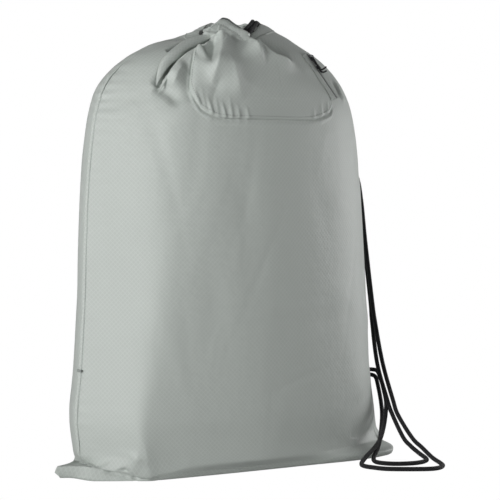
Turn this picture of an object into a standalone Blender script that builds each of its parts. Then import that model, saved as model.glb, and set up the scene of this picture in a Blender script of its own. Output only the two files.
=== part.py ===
"""Drawstring laundry bag, filled and standing on its flat base.

Frame in metres: origin on the floor under the middle of the bag, +Z up, -Y the front
with the pocket, +X the side that the shoulder cord hangs on. Two fabric panels meet in
the plane Y = 0. Their two sewn bottom corners lie on the floor as flat tips, and the
gathered mouth is on top, held by a drawcord in its hem tunnels.
"""

from math import cos, exp, pi, radians, sin

import bmesh
import bpy
from mathutils import Matrix, Vector

# Driving dimensions.
GAP = 0.0003
SEAM = 0.0004
FABRIC = 0.0012
ACROSS_FACES = 28

# The base: a flat floor outline that runs out to a pointed tip at each side.
TIP_LEFT = -0.246
TIP_RIGHT = 0.251
BASE_HALF_DEPTH = 0.092
BASE_SHARPNESS = 5.0
TIP_THICKNESS = 0.003
EDGE_HEIGHT = 0.010
CREASE_HALF_WIDTH = 0.196
CREASE_HALF_DEPTH = 0.0955
CREASE_HEIGHT = 0.012
TIP_RELIEF = 0.0011
BACK_FULLNESS = 0.25

# The filled body: station, height, half width, front depth, back depth, sharpness
# of the section's ends, roundness of its faces, and the middle in X.
BODY = (
    (0.030, 0.030, 0.2130, 0.1000, 0.1000, 2.6, 1.9, 0.0000),
    (0.070, 0.070, 0.2175, 0.1050, 0.1050, 2.4, 1.9, 0.0000),
    (0.130, 0.130, 0.2120, 0.1070, 0.1075, 2.3, 1.9, 0.0000),
    (0.200, 0.200, 0.2075, 0.1075, 0.1085, 2.2, 1.9, 0.0000),
    (0.290, 0.290, 0.2030, 0.1070, 0.1100, 2.1, 1.9, -0.0010),
    (0.370, 0.370, 0.1970, 0.1050, 0.1110, 2.1, 1.9, -0.0020),
    (0.425, 0.425, 0.1900, 0.0995, 0.1085, 2.1, 1.9, -0.0020),
    (0.462, 0.460, 0.1805, 0.0920, 0.1020, 2.1, 1.9, -0.0015),
    (0.500, 0.490, 0.1600, 0.0790, 0.0880, 2.1, 1.9, 0.0000),
    (0.540, 0.515, 0.1255, 0.0590, 0.0660, 2.1, 1.9, 0.0035),
    (0.580, 0.5300, 0.0860, 0.0430, 0.0460, 2.0, 2.0, 0.0110),
    (0.620, 0.5375, 0.0470, 0.0320, 0.0320, 2.0, 2.0, 0.0170),
)
BODY_STATIONS = (
    0.030, 0.045, 0.070, 0.100, 0.130, 0.200, 0.290, 0.370, 0.400, 0.425, 0.445,
    0.462, 0.481, 0.500, 0.520, 0.540, 0.560, 0.580, 0.600, 0.620,
)  # fmt: skip

# The gathered mouth: an oval ring that rises towards the back.
MOUTH = Vector((0.017, 0.0, 0.546))
MOUTH_HALF_WIDTH = 0.042
MOUTH_HALF_DEPTH = 0.027
MOUTH_TILT = 0.17
TUNNEL_HEIGHT = 0.016
TUNNEL_THICKNESS = 0.009
FRONT_TUNNEL = (181.5, 250.0)
BACK_TUNNEL = (54.0, 178.5)

# The drawcord and its two free strands.
CORD = 0.0056
CORD_ENDS = (5.0, 50.0)
CORD_POINTS = 38
CORD_STUB = 0.004
BEND_WEIGHT = 0.05

# The shoulder cord's anchor in the right side seam.
ANCHOR_HEIGHT = 0.0965
ANCHOR_SIZE = (0.012, 0.0075, 0.022)
TACK_HEIGHT = 0.1295

# The pocket and its zip, a straight run down the pocket's right edge.
POCKET_THICKNESS = 0.0008
POCKET_BOTTOM, POCKET_TOP = 0.430, 0.560
POCKET_LEFT, POCKET_RIGHT = -0.585, 0.578
POCKET_CORNER = 0.045
POCKET_CORNER_INSET = 0.16
ZIP_FLAT_AT = (0.499, 0.665)
ZIP_FLAT_SPREAD = (0.030, 0.20)
ZIP_FLAT_DEPTH = 0.006
ZIP_TOP_AT = (0.538, 0.675)
ZIP_BOTTOM_AT = (0.460, 0.655)
TAPE_WIDTH = 0.0055
TAPE_LIFT = 0.0026
TAPE_CLEAR = 0.0005
COIL_WIDTH = 0.0013
COIL_HEIGHT = 0.0013
COIL_SEAM = 0.0002
STOP_LENGTH = 0.0024
SLIDER_SIZE = (0.0058, 0.0085, 0.0012)
BAIL_WIRE = 0.0010
BAIL_REACH = 0.0031
PULL_CORD = 0.0022
LOOP_CORD = 0.0018
LOOP_LENGTH = 0.0110
KNOT_SIZE = (0.0052, 0.0070, 0.0044)

# The route of each free strand, from the mouth over the back of the right shoulder,
# down beside the bag, round a loop on the floor and up to the anchor.
OUTER_STRAND = (
    (0.0588, 0.0024, 0.5464), (0.0604, 0.0090, 0.5474), (0.0648, 0.0165, 0.5462),
    (0.0730, 0.0240, 0.5415), (0.0845, 0.0320, 0.5336), (0.0990, 0.0395, 0.5240),
    (0.1155, 0.0435, 0.5136), (0.1345, 0.0445, 0.5006), (0.1525, 0.0425, 0.4858),
    (0.1675, 0.0380, 0.4690), (0.1790, 0.0312, 0.4505), (0.1875, 0.0230, 0.4305),
    (0.1950, 0.0150, 0.4100), (0.2085, 0.0010, 0.3627), (0.2145, -0.002, 0.3290),
    (0.2200, -0.004, 0.2755), (0.2265, -0.011, 0.1950), (0.2270, -0.017, 0.1660),
    (0.2245, -0.036, 0.1130), (0.2165, -0.067, 0.0680), (0.2120, -0.083, 0.0500),
    (0.2100, -0.1135, 0.0245), (0.2110, -0.132, 0.0142), (0.2070, -0.156, 0.0055),
    (0.1990, -0.180, 0.0031), (0.1890, -0.196, 0.0031), (0.1740, -0.204, 0.0031),
    (0.1560, -0.200, 0.0031), (0.1210, -0.175, 0.0031), (0.1110, -0.157, 0.0031),
    (0.1080, -0.141, 0.0031), (0.1150, -0.128, 0.0034), (0.1290, -0.118, 0.0075),
    (0.1710, -0.097, 0.0254), (0.2110, -0.060, 0.0570), (0.2275, -0.034, 0.0790),
    (0.2360, -0.016, 0.0925), (0.2385, -0.007, 0.0985), (0.2350, -0.001, 0.0998),
    (0.2287, 0.0000, 0.1000),
)  # fmt: skip
INNER_STRAND = (
    (0.0440, 0.0207, 0.5495), (0.0510, 0.0202, 0.5502), (0.0575, 0.0240, 0.5490),
    (0.0655, 0.0315, 0.5438), (0.0760, 0.0385, 0.5350), (0.0895, 0.0460, 0.5242),
    (0.1050, 0.0510, 0.5136), (0.1245, 0.0530, 0.5006), (0.1430, 0.0522, 0.4858),
    (0.1600, 0.0480, 0.4690), (0.1735, 0.0412, 0.4505), (0.1840, 0.0325, 0.4305),
    (0.1930, 0.0245, 0.4100), (0.2120, 0.0095, 0.3627), (0.2195, 0.0060, 0.3290),
    (0.2240, 0.0040, 0.2755), (0.2300, -0.003, 0.1945), (0.2290, -0.008, 0.1665),
    (0.2222, -0.0275, 0.1120), (0.2135, -0.0582, 0.0692), (0.2090, -0.0740, 0.0514),
    (0.2035, -0.103, 0.0248), (0.2034, -0.118, 0.0154), (0.2040, -0.134, 0.0082),
    (0.2030, -0.149, 0.0036), (0.1930, -0.159, 0.0031), (0.1770, -0.163, 0.0031),
    (0.1600, -0.159, 0.0031), (0.1460, -0.150, 0.0031), (0.1380, -0.137, 0.0031),
    (0.1400, -0.123, 0.0030), (0.1480, -0.112, 0.0060), (0.1730, -0.092, 0.0184),
    (0.2040, -0.060, 0.0430), (0.2180, -0.041, 0.0610), (0.2300, -0.020, 0.0800),
    (0.2355, -0.008, 0.0903), (0.2335, -0.001, 0.0928), (0.2287, 0.0000, 0.0930),
)  # fmt: skip


def clear_scene():
    """Remove whatever the file opened with."""
    for obj in list(bpy.data.objects):
        bpy.data.objects.remove(obj, do_unlink=True)


def new_collection(name):
    collection = bpy.data.collections.new(name)
    bpy.context.scene.collection.children.link(collection)
    return collection


def new_material(name, colour, roughness, metallic=0.0):
    """A Principled material of one plain colour."""
    material = bpy.data.materials.new(name)
    material.use_nodes = True
    shader = material.node_tree.nodes["Principled BSDF"]
    shader.inputs["Base Color"].default_value = (*colour, 1.0)
    shader.inputs["Roughness"].default_value = roughness
    shader.inputs["Metallic"].default_value = metallic
    return material


def place(name, data, material):
    """Put a mesh or curve into the bag's collection as a named sub-part."""
    obj = bpy.data.objects.new(name, data)
    data.materials.append(material)
    BAG.objects.link(obj)
    return obj


def from_bmesh(name, mesh_edit, material):
    mesh = bpy.data.meshes.new(name)
    mesh_edit.to_mesh(mesh)
    mesh_edit.free()
    return place(name, mesh, material)


def round_off(obj, angle=40.0):
    """Shade smooth, but keep real edges sharp."""
    obj.data.shade_smooth()
    obj.data.set_sharp_from_angle(angle=radians(angle))


def smooth_value(table, column, station):
    """Read one column of a station table along a smooth curve with no overshoot."""
    stations = [row[0] for row in table]
    values = [row[column] for row in table]
    last = len(stations) - 1
    slopes = [(values[i + 1] - values[i]) / (stations[i + 1] - stations[i]) for i in range(last)]

    def tangent(i):
        if i == 0 or i == last:
            return slopes[0 if i == 0 else -1]
        before, after = slopes[i - 1], slopes[i]
        if before * after <= 0.0:
            return 0.0
        return 2.0 * before * after / (before + after)

    station = min(max(station, stations[0]), stations[-1])
    i = max(k for k in range(last) if stations[k] <= station)
    step = stations[i + 1] - stations[i]
    t = (station - stations[i]) / step
    return (
        values[i] * (1 + 2 * t) * (1 - t) ** 2
        + values[i + 1] * t * t * (3 - 2 * t)
        + tangent(i) * step * t * (1 - t) ** 2
        + tangent(i + 1) * step * t * t * (t - 1)
    )


def skin_point(side, station, across):
    """A point on the body's outside: side -1 is the front, and across runs -1 to 1."""
    height, half, front, back, sharp, round_, middle = (
        smooth_value(BODY, column, station) for column in range(1, 8)
    )
    depth = front if side < 0 else back
    sharp += BACK_FULLNESS if side > 0 else 0.0
    y = side * (SEAM + depth * max(0.0, 1 - abs(across) ** sharp) ** (1 / round_))
    if side < 0:
        away = (station - ZIP_FLAT_AT[0]) / ZIP_FLAT_SPREAD[0]
        aside = (across - ZIP_FLAT_AT[1]) / ZIP_FLAT_SPREAD[1]
        y = min(y + ZIP_FLAT_DEPTH * exp(-away * away - aside * aside), -SEAM)
    rise = min(max((station - BODY[-3][0]) / (BODY[-1][0] - BODY[-3][0]), 0.0), 1.0)
    return Vector((middle + half * across, y, height + MOUTH_TILT * rise * y))


def skin(side, station, across, lift=0.0):
    """The same point, lifted off the fabric along its outward normal."""
    step = 0.002
    point = skin_point(side, station, across)
    up = skin_point(side, station + step, across) - skin_point(side, station - step, across)
    along = skin_point(side, station, across + step) - skin_point(side, station, across - step)
    normal = along.cross(up).normalized() * -side
    return point + normal * lift


def loft(name, rings, material, closed=False, flip=False):
    """A surface of quads through rows of points, each row as long as the others."""
    edit = bmesh.new()
    rows = [[edit.verts.new(point) for point in ring] for ring in rings]
    count = len(rings[0])
    for lower, upper in zip(rows, rows[1:]):
        for i in range(count if closed else count - 1):
            j = (i + 1) % count
            corners = (lower[i], lower[j], upper[j], upper[i])
            edit.faces.new(reversed(corners) if flip else corners)
    return from_bmesh(name, edit, material)


def capped_loft(name, rings, material):
    """A closed body through closed sections, with a flat cap at each end."""
    obj = loft(name, rings, material, closed=True)
    edit = bmesh.new()
    edit.from_mesh(obj.data)
    bmesh.ops.holes_fill(edit, edges=[e for e in edit.edges if e.is_boundary])
    bmesh.ops.recalc_face_normals(edit, faces=edit.faces)
    edit.to_mesh(obj.data)
    edit.free()
    return obj


def thicken(obj, thickness):
    """Give an open surface its thickness, inwards."""
    solidify = obj.modifiers.new("Thickness", "SOLIDIFY")
    solidify.thickness = thickness
    solidify.offset = -1.0
    solidify.use_even_offset = True
    solidify.thickness_clamp = 1.0


def box(name, size, material, location=(0, 0, 0), rotation=None, bevel=0.0):
    """A box with rounded edges."""
    edit = bmesh.new()
    bmesh.ops.create_cube(edit, size=1.0)
    bmesh.ops.scale(edit, verts=edit.verts, vec=size)
    obj = from_bmesh(name, edit, material)
    turn = rotation if rotation is not None else Matrix.Identity(3)
    obj.matrix_world = Matrix.Translation(location) @ turn.to_4x4()
    if bevel:
        rounding = obj.modifiers.new("Rounding", "BEVEL")
        rounding.width = bevel
        rounding.segments = 2
    return obj


def tube(name, points, diameter, material, sides=2):
    """A round cord along a run of points."""
    curve = bpy.data.curves.new(name, "CURVE")
    curve.dimensions = "3D"
    curve.bevel_depth = diameter / 2
    curve.bevel_resolution = sides
    curve.use_fill_caps = True
    spline = curve.splines.new("POLY")
    spline.points.add(len(points) - 1)
    for control, point in zip(spline.points, points):
        control.co = (*point, 1.0)
    return place(name, curve, material)


def outline_plate(name, outline, thickness, material):
    """A flat piece cut to an outline in X and Z, centred on the plane Y = 0."""
    curve = bpy.data.curves.new(name, "CURVE")
    curve.dimensions = "2D"
    curve.fill_mode = "BOTH"
    curve.extrude = thickness / 2
    spline = curve.splines.new("POLY")
    spline.points.add(len(outline) - 1)
    for control, (x, z) in zip(spline.points, outline):
        control.co = (x, z, 0.0, 1.0)
    spline.use_cyclic_u = True
    obj = place(name, curve, material)
    obj.rotation_euler = (radians(90), 0.0, 0.0)
    return obj


def along_route(route, count):
    """Points along the smooth curve through a route, closer together in its bends."""
    nodes = [Vector(point) for point in route]
    nodes = [2 * nodes[0] - nodes[1], *nodes, 2 * nodes[-1] - nodes[-2]]
    parts = 10
    fine = []
    for a, b, c, d in zip(nodes, nodes[1:], nodes[2:], nodes[3:]):
        for k in range(parts):
            t = k / parts
            square = (2 * a - 5 * b + 4 * c - d) * t * t
            cube = (3 * b - a - 3 * c + d) * t**3
            fine.append(0.5 * (2 * b + (c - a) * t + square + cube))
    fine.append(nodes[-2])
    reach = [0.0]
    for i in range(1, len(fine)):
        run = fine[i] - fine[i - 1]
        bend = run.angle(fine[i + 1] - fine[i]) if i + 1 < len(fine) else 0.0
        reach.append(reach[-1] + run.length + BEND_WEIGHT * bend)
    chosen = []
    for k in range(count):
        want = reach[-1] * k / (count - 1)
        i = min(sum(1 for r in reach if r <= want) - 1, len(fine) - 2)
        t = (want - reach[i]) / (reach[i + 1] - reach[i])
        chosen.append(fine[i].lerp(fine[i + 1], t))
    return chosen


def across_steps():
    return [-cos(pi * i / ACROSS_FACES) for i in range(ACROSS_FACES + 1)]


def base_rings(side):
    """The floor, the rounded lower edge with its tips, and the crease above them."""
    middle = (TIP_LEFT + TIP_RIGHT) / 2
    half = (TIP_RIGHT - TIP_LEFT) / 2
    seam_half = half - 0.012
    edge_inset = 0.0015
    seam_row, floor_row, edge_row, crease_row = [], [], [], []
    for across in across_steps():
        seam = SEAM + TIP_RELIEF * abs(across) ** 20
        depth = BASE_HALF_DEPTH * (1 - abs(across) ** BASE_SHARPNESS)
        seam_row.append(Vector((middle + seam_half * across, side * seam, 0.0)))
        floor_row.append(Vector((middle + half * across, side * (seam + depth), 0.0)))
        rise = TIP_THICKNESS + (EDGE_HEIGHT - TIP_THICKNESS) * (1 - abs(across) ** 3)
        x = middle + (half - edge_inset) * across
        edge_row.append(Vector((x, side * (seam + depth * 1.01), rise)))
        depth = CREASE_HALF_DEPTH * (1 - abs(across) ** 4) ** (1 / 1.5)
        rise = CREASE_HEIGHT + 0.005 * (1 - across * across)
        crease_row.append(Vector((CREASE_HALF_WIDTH * across, side * (seam + depth), rise)))
    return [seam_row, floor_row, edge_row, crease_row]


def build_panel(name, side, material):
    """Front or back of the bag: one sheet from the bottom seam to the mouth."""
    rings = base_rings(side)
    for station in BODY_STATIONS:
        rings.append([skin_point(side, station, across) for across in across_steps()])
    panel = loft(name, rings, material, flip=side > 0)
    thicken(panel, FABRIC)
    round_off(panel)


def ring_point(angle):
    """A point on the drawcord's path round the mouth; 0 degrees is the right side."""
    x = MOUTH_HALF_WIDTH * cos(radians(angle))
    y = MOUTH_HALF_DEPTH * sin(radians(angle))
    return MOUTH + Vector((x, y, MOUTH_TILT * y))


def build_tunnel(name, angles, material):
    """A hem tunnel: a flat tube of fabric round part of the mouth, open at its ends."""
    corner = 0.0025
    section = []
    for quarter in range(4):
        cx = (TUNNEL_THICKNESS / 2 - corner) * (1 if quarter in (0, 3) else -1)
        cz = (TUNNEL_HEIGHT / 2 - corner) * (1 if quarter < 2 else -1)
        for k in range(3):
            turn = pi / 2 * (quarter + k / 2)
            section.append((cx + corner * cos(turn), cz + corner * sin(turn)))
    steps = max(6, round((angles[1] - angles[0]) / 9))
    rings = []
    for k in range(steps + 1):
        angle = angles[0] + (angles[1] - angles[0]) * k / steps
        out = (ring_point(angle) - MOUTH) * Vector((1, 1, 0))
        out.x /= MOUTH_HALF_WIDTH**2
        out.y /= MOUTH_HALF_DEPTH**2
        out.normalize()
        centre = ring_point(angle)
        rings.append([centre + out * u + Vector((0, 0, w)) for u, w in section])
    tunnel = loft(name, rings, material, closed=True, flip=True)
    thicken(tunnel, FABRIC)
    round_off(tunnel)


def build_side_binding(name, side_x, material):
    """The bound seam allowance inside a side seam, standing in towards the middle."""
    depth = 0.007
    clear = FABRIC + 0.0010
    thickness = 0.0016
    seam = [skin_point(-1, station, side_x) for station in BODY_STATIONS[1:-2]]
    points = [Vector((p.x, p.z)) for p in seam]
    outer, inner = [], []
    for k, point in enumerate(points):
        before, after = points[max(k - 1, 0)], points[min(k + 1, len(points) - 1)]
        run = (after - before).normalized()
        inward = Vector((-run.y, run.x)) * (1 if side_x > 0 else -1)
        outer.append(point + inward * clear)
        inner.append(point + inward * (clear + depth))
    outline_plate(name, outer + inner[::-1], thickness, material)


def build_bottom_binding(material):
    size = (2 * CREASE_HALF_WIDTH - 0.050, 0.0016, 0.0060)
    box("bottom_seam_binding", size, material, (0.0, 0.0, FABRIC + GAP + size[2] / 2 + 0.0005))


def pocket_edge(station):
    """Left and right edge of the pocket at a station, with its lower corners rounded."""
    rise = min(station - POCKET_BOTTOM, POCKET_CORNER) / POCKET_CORNER
    draw_in = POCKET_CORNER_INSET * (1 - (1 - (1 - rise) ** 2) ** 0.5)
    return POCKET_LEFT + draw_in, POCKET_RIGHT - draw_in


def build_pocket(material):
    """The pocket's outer panel, a patch sewn over the front just under the mouth."""
    columns = 16
    stations = [POCKET_BOTTOM + POCKET_CORNER * (1 - cos(pi / 2 * k / 4)) for k in range(5)]
    stations += [0.492, 0.509, 0.526, 0.543, POCKET_TOP]
    lift = GAP + 0.0002 + POCKET_THICKNESS
    rings = []
    for station in stations:
        left, right = pocket_edge(station)
        steps = [left + (right - left) * k / columns for k in range(columns + 1)]
        rings.append([skin(-1, station, across, lift) for across in steps])
    pocket = loft("pocket_panel", rings, material)
    thicken(pocket, POCKET_THICKNESS)
    round_off(pocket)


def zip_frame():
    """The zip's own axes: x across it to the right, y up its length, z out."""
    up = (ZIP_TOP - ZIP_BOTTOM).normalized()
    middle_at = [(top + bottom) / 2 for top, bottom in zip(ZIP_TOP_AT, ZIP_BOTTOM_AT)]
    out = skin(-1, *middle_at, 1.0) - skin(-1, *middle_at)
    out = (out - up * out.dot(up)).normalized()
    return Matrix((up.cross(out), up, out)).transposed()


def zip_point(across, down, lift):
    """A point in the zip's own axes, with down measured from its top end."""
    return ZIP_TOP + ZIP_TURN @ Vector((across, -down, lift))


def height_over_fabric(point):
    """How far a point stands off the body's front, measured along the zip's normal."""
    out = ZIP_TURN.col[2]

    def aside(at):
        offset = point - skin_point(-1, *at)
        return (offset - out * offset.dot(out)).length

    best = [(top + bottom) / 2 for top, bottom in zip(ZIP_TOP_AT, ZIP_BOTTOM_AT)]
    step = 0.04
    while step > 1e-5:
        tries = [(best[0] + i * step, best[1] + j * step) for i in (-1, 0, 1) for j in (-1, 0, 1)]
        nearest = min(tries, key=aside)
        if aside(nearest) >= aside(best):
            step /= 2
        best = nearest
    return (point - skin_point(-1, *best)).dot(out)


def build_tape(name, inner_edge, outer_edge, material):
    """One zip tape: flat on top, and following the fabric underneath."""
    steps = 7
    rings = []
    for k in range(steps + 1):
        down = ZIP_LENGTH * k / steps
        top = [zip_point(across, down, TAPE_LIFT) for across in (inner_edge, outer_edge)]
        bottom = [p - ZIP_TURN.col[2] * (height_over_fabric(p) - TAPE_CLEAR) for p in top]
        rings.append(top + bottom[::-1])
    capped_loft(name, rings, material)


def build_zip(tape_cloth, plastic, metal):
    """Tapes, the two coils, end stops, and the slider with its bail."""
    inner = COIL_SEAM + COIL_WIDTH + GAP
    coil_length = ZIP_LENGTH - 2 * (STOP_LENGTH + GAP)
    coil_size = (COIL_WIDTH, coil_length, COIL_HEIGHT)
    for side, sign in (("left", -1), ("right", 1)):
        build_tape(f"zip_tape_{side}", sign * inner, sign * (inner + TAPE_WIDTH), tape_cloth)
        across = sign * (COIL_SEAM + COIL_WIDTH / 2)
        middle = zip_point(across, ZIP_LENGTH / 2, COIL_LIFT)
        box(f"zip_coil_{side}", coil_size, plastic, middle, ZIP_TURN, 0.0003)
    stop_size = (2 * (COIL_SEAM + COIL_WIDTH), STOP_LENGTH, COIL_HEIGHT)
    for end, down in (("top", STOP_LENGTH / 2), ("bottom", ZIP_LENGTH - STOP_LENGTH / 2)):
        middle = zip_point(0.0, down, COIL_LIFT)
        box(f"zip_{end}_stop", stop_size, metal, middle, ZIP_TURN, 0.0003)
    middle = zip_point(0.0, SLIDER_DOWN, SLIDER_TOP - SLIDER_SIZE[2] / 2)
    box("zip_slider", SLIDER_SIZE, metal, middle, ZIP_TURN, 0.0004)
    foot = SLIDER_TOP + GAP + BAIL_WIRE / 2
    arch = []
    for k in range(9):
        turn = pi * k / 8
        down = SLIDER_DOWN + BAIL_REACH * cos(turn)
        arch.append(zip_point(0.0, down, foot + BAIL_REACH * sin(turn)))
    tube("slider_bail", arch, BAIL_WIRE, metal)


def build_pull(cord):
    """The pull: a loop of thin cord through the bail, a knot, and two cut tails."""
    right_leg = [(0.0012, LOOP_LENGTH, 0.0), (0.0024, 0.006, 0.0), (0.0024, 0.0015, 0.0)]
    right_leg.append((0.0015, 0.0, 0.0))
    loop = right_leg + [(-x, down, lift) for x, down, lift in right_leg[::-1]]
    knot_down = LOOP_LENGTH + GAP + KNOT_SIZE[1] / 2
    tails_down = knot_down + KNOT_SIZE[1] / 2 + GAP
    upper_tail = [(0.0014, 0.0000, 0.0), (0.0030, 0.0012, 0.0008)]
    upper_tail += [(0.0065, 0.0014, 0.0022), (0.0125, 0.0006, 0.0036)]
    lower_tail = [(-0.0014, 0.0000, 0.0), (-0.0004, 0.0030, 0.0000)]
    lower_tail += [(0.0030, 0.0050, 0.0008), (0.0095, 0.0052, 0.0020)]

    def hang(name, points, down, diameter):
        turned = [ZIP_TURN @ Vector((x, -down - y, lift)) for x, y, lift in points]
        piece = tube(name, turned, diameter, cord)
        piece.location = PIVOT

    hang("pull_cord_loop", loop, 0.0, LOOP_CORD)
    hang("pull_cord_upper_tail", upper_tail, tails_down, PULL_CORD)
    hang("pull_cord_lower_tail", lower_tail, tails_down, PULL_CORD)
    edit = bmesh.new()
    bmesh.ops.create_uvsphere(edit, u_segments=12, v_segments=8, radius=0.5)
    bmesh.ops.scale(edit, verts=edit.verts, vec=KNOT_SIZE)
    bmesh.ops.translate(edit, verts=edit.verts, vec=(0.0, -knot_down, 0.0))
    knot = from_bmesh("pull_cord_knot", edit, cord)
    knot.matrix_world = Matrix.Translation(PIVOT) @ ZIP_TURN.to_4x4()
    round_off(knot)


def build_drawcord(cord):
    """The drawcord inside the tunnels, and the two strands that leave the mouth."""
    first, last = CORD_ENDS
    turn = 360.0 - (last - first)
    steps = 44
    clear = 0.0006
    ring = [ring_point(first - turn * k / steps) for k in range(steps + 1)]
    tube("drawcord_in_mouth", ring, CORD, cord)
    ends = {"outer": (ring[0], ring[1]), "inner": (ring[-1], ring[-2])}
    for name, route in (("outer", OUTER_STRAND), ("inner", INNER_STRAND)):
        exit_at, before = ends[name]
        leaving = (exit_at - before).normalized()
        start = exit_at + leaving * clear
        stub = start + leaving * CORD_STUB
        finish = Vector(route[-1])
        last_stub = finish + Vector((CORD_STUB, 0, 0))
        points = along_route([stub, *route[1:-1], last_stub], CORD_POINTS)
        tube(f"shoulder_cord_{name}", [start, *points, finish], CORD, cord)


def build_anchors(webbing, thread):
    """The tab that holds both strands in the right seam, and the bar tack on the left."""
    right = skin_point(-1, ANCHOR_HEIGHT, 1.0).x
    place_at = (right + GAP * 2 + ANCHOR_SIZE[0] / 2, 0.0, ANCHOR_HEIGHT)
    box("cord_anchor_tab", ANCHOR_SIZE, webbing, place_at, bevel=0.0012)
    left = skin_point(-1, TACK_HEIGHT, -1.0).x
    tack_size = (0.0009, 0.010, 0.0030)
    box("bar_tack_left", tack_size, thread, (left - 0.0008, 0.0, TACK_HEIGHT), bevel=0.0002)


clear_scene()
BAG = new_collection("laundry_bag")
ZIP_TOP = skin_point(-1, *ZIP_TOP_AT)
ZIP_BOTTOM = skin_point(-1, *ZIP_BOTTOM_AT)
ZIP_LENGTH = (ZIP_BOTTOM - ZIP_TOP).length
ZIP_TURN = zip_frame()
COIL_LIFT = TAPE_LIFT - COIL_HEIGHT / 2 + 0.0005
SLIDER_TOP = COIL_LIFT + COIL_HEIGHT / 2 + GAP + SLIDER_SIZE[2]
SLIDER_DOWN = STOP_LENGTH + 2 * GAP + SLIDER_SIZE[1] / 2
PIVOT = zip_point(0.0, SLIDER_DOWN, SLIDER_TOP + GAP + LOOP_CORD / 2)

RIPSTOP = new_material("ripstop", (0.50, 0.53, 0.51), 0.55)
BINDING = new_material("binding_tape", (0.42, 0.45, 0.43), 0.75)
ZIP_TAPE = new_material("zip_tape_cloth", (0.20, 0.21, 0.21), 0.80)
ZIP_PLASTIC = new_material("zip_coil_plastic", (0.05, 0.05, 0.05), 0.45)
ZIP_METAL = new_material("zip_metal", (0.16, 0.16, 0.17), 0.35, 1.0)
CORD_CLOTH = new_material("black_cord", (0.02, 0.02, 0.022), 0.80)
THREAD = new_material("seam_thread", (0.36, 0.38, 0.37), 0.70)

build_panel("front_panel", -1, RIPSTOP)
build_panel("back_panel", 1, RIPSTOP)
build_tunnel("front_drawcord_tunnel", FRONT_TUNNEL, RIPSTOP)
build_tunnel("back_drawcord_tunnel", BACK_TUNNEL, RIPSTOP)
build_side_binding("left_seam_binding", -1.0, BINDING)
build_side_binding("right_seam_binding", 1.0, BINDING)
build_bottom_binding(BINDING)
build_pocket(RIPSTOP)
build_zip(ZIP_TAPE, ZIP_PLASTIC, ZIP_METAL)
build_pull(CORD_CLOTH)
build_drawcord(CORD_CLOTH)
build_anchors(RIPSTOP, THREAD)
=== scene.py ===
"""The looks of a filled drawstring laundry bag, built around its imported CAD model.

Metres, +Z up. The front, with the pocket, faces -Y, and the shoulder cord hangs at +X.
Each fabric panel is one fine sheet, laid over the body's sections and then worked into
its folds, and everything sewn to it is laid out on that sheet.
"""

from math import cos, pi, radians, sin

import bmesh
import bpy
import numpy as np
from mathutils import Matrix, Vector


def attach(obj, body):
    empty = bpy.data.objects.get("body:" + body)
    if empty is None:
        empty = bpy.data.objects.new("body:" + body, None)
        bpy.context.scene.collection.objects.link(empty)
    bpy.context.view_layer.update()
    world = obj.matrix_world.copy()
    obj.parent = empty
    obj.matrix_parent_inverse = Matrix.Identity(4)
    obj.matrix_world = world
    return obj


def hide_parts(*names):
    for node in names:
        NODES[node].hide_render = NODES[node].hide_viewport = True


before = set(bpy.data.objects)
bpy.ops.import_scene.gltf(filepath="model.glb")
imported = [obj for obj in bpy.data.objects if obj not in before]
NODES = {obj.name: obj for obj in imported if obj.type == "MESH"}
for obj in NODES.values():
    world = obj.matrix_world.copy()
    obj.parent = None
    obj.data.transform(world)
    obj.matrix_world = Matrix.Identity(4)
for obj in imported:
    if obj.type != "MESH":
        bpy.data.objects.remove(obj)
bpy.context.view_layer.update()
SCENE = bpy.context.scene

# fmt: off
# The camera, at the height of a person sitting on the floor.
CAMERA_AT = (-1.101, -1.634, 0.360)
CAMERA_TURN = 34.8
CAMERA_DIP = 2.68
CAMERA_LENS = 112.4

# The room: its light at eye level and overhead, the height in its dome where that is
# reached, and the lights, each with its place, target, size and power.
WHITE = (1.0, 1.0, 1.0)
ROOM_GLOW = (0.585, 0.05)
ROOM_GLOW_TOP = 0.75
LEFT_LIGHT = ((-2.5, -0.9, 0.50), (0, 0, 0.2), (0.9, 1.8), 60)
RIGHT_LIGHT = ((2.0, -0.25, 0.30), (0.1, 0, 0.12), (0.8, 1.2), 21)
FLOOR_HALF = 6.0
FLOOR_COLOUR = (0.62, 0.62, 0.62)
CLOTH_COLOUR = (0.463, 0.500, 0.470)

# Sizes of the cloth and the cords.
CLOTH = 0.0009
SEAM = 0.0004
CORD = 0.0056

# The filled body: station, height, half width, front depth, back depth, sharpness
# of the section's ends, roundness of its faces, and the middle in X.
BODY = np.array((
    (0.030, 0.030, 0.2130, 0.1000, 0.1000, 2.6, 1.9, 0.0000),
    (0.070, 0.070, 0.2175, 0.1050, 0.1050, 2.4, 1.9, 0.0000),
    (0.130, 0.130, 0.2120, 0.1070, 0.1075, 2.3, 1.9, 0.0000),
    (0.200, 0.200, 0.2075, 0.1075, 0.1085, 2.2, 1.9, 0.0000),
    (0.290, 0.290, 0.2030, 0.1070, 0.1100, 2.1, 1.9, -0.0010),
    (0.370, 0.370, 0.1970, 0.1050, 0.1110, 2.1, 1.9, -0.0020),
    (0.425, 0.425, 0.1900, 0.0995, 0.1085, 2.1, 1.9, -0.0020),
    (0.462, 0.460, 0.1805, 0.0920, 0.1020, 2.1, 1.9, -0.0015),
    (0.500, 0.490, 0.1600, 0.0790, 0.0880, 2.1, 1.9, 0.0000),
    (0.540, 0.515, 0.1255, 0.0590, 0.0660, 2.1, 1.9, 0.0035),
    (0.580, 0.5300, 0.0860, 0.0430, 0.0460, 2.0, 2.0, 0.0110),
    (0.620, 0.5375, 0.0470, 0.0320, 0.0320, 2.0, 2.0, 0.0170),
))
BACK_FULLNESS = 0.25
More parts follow.
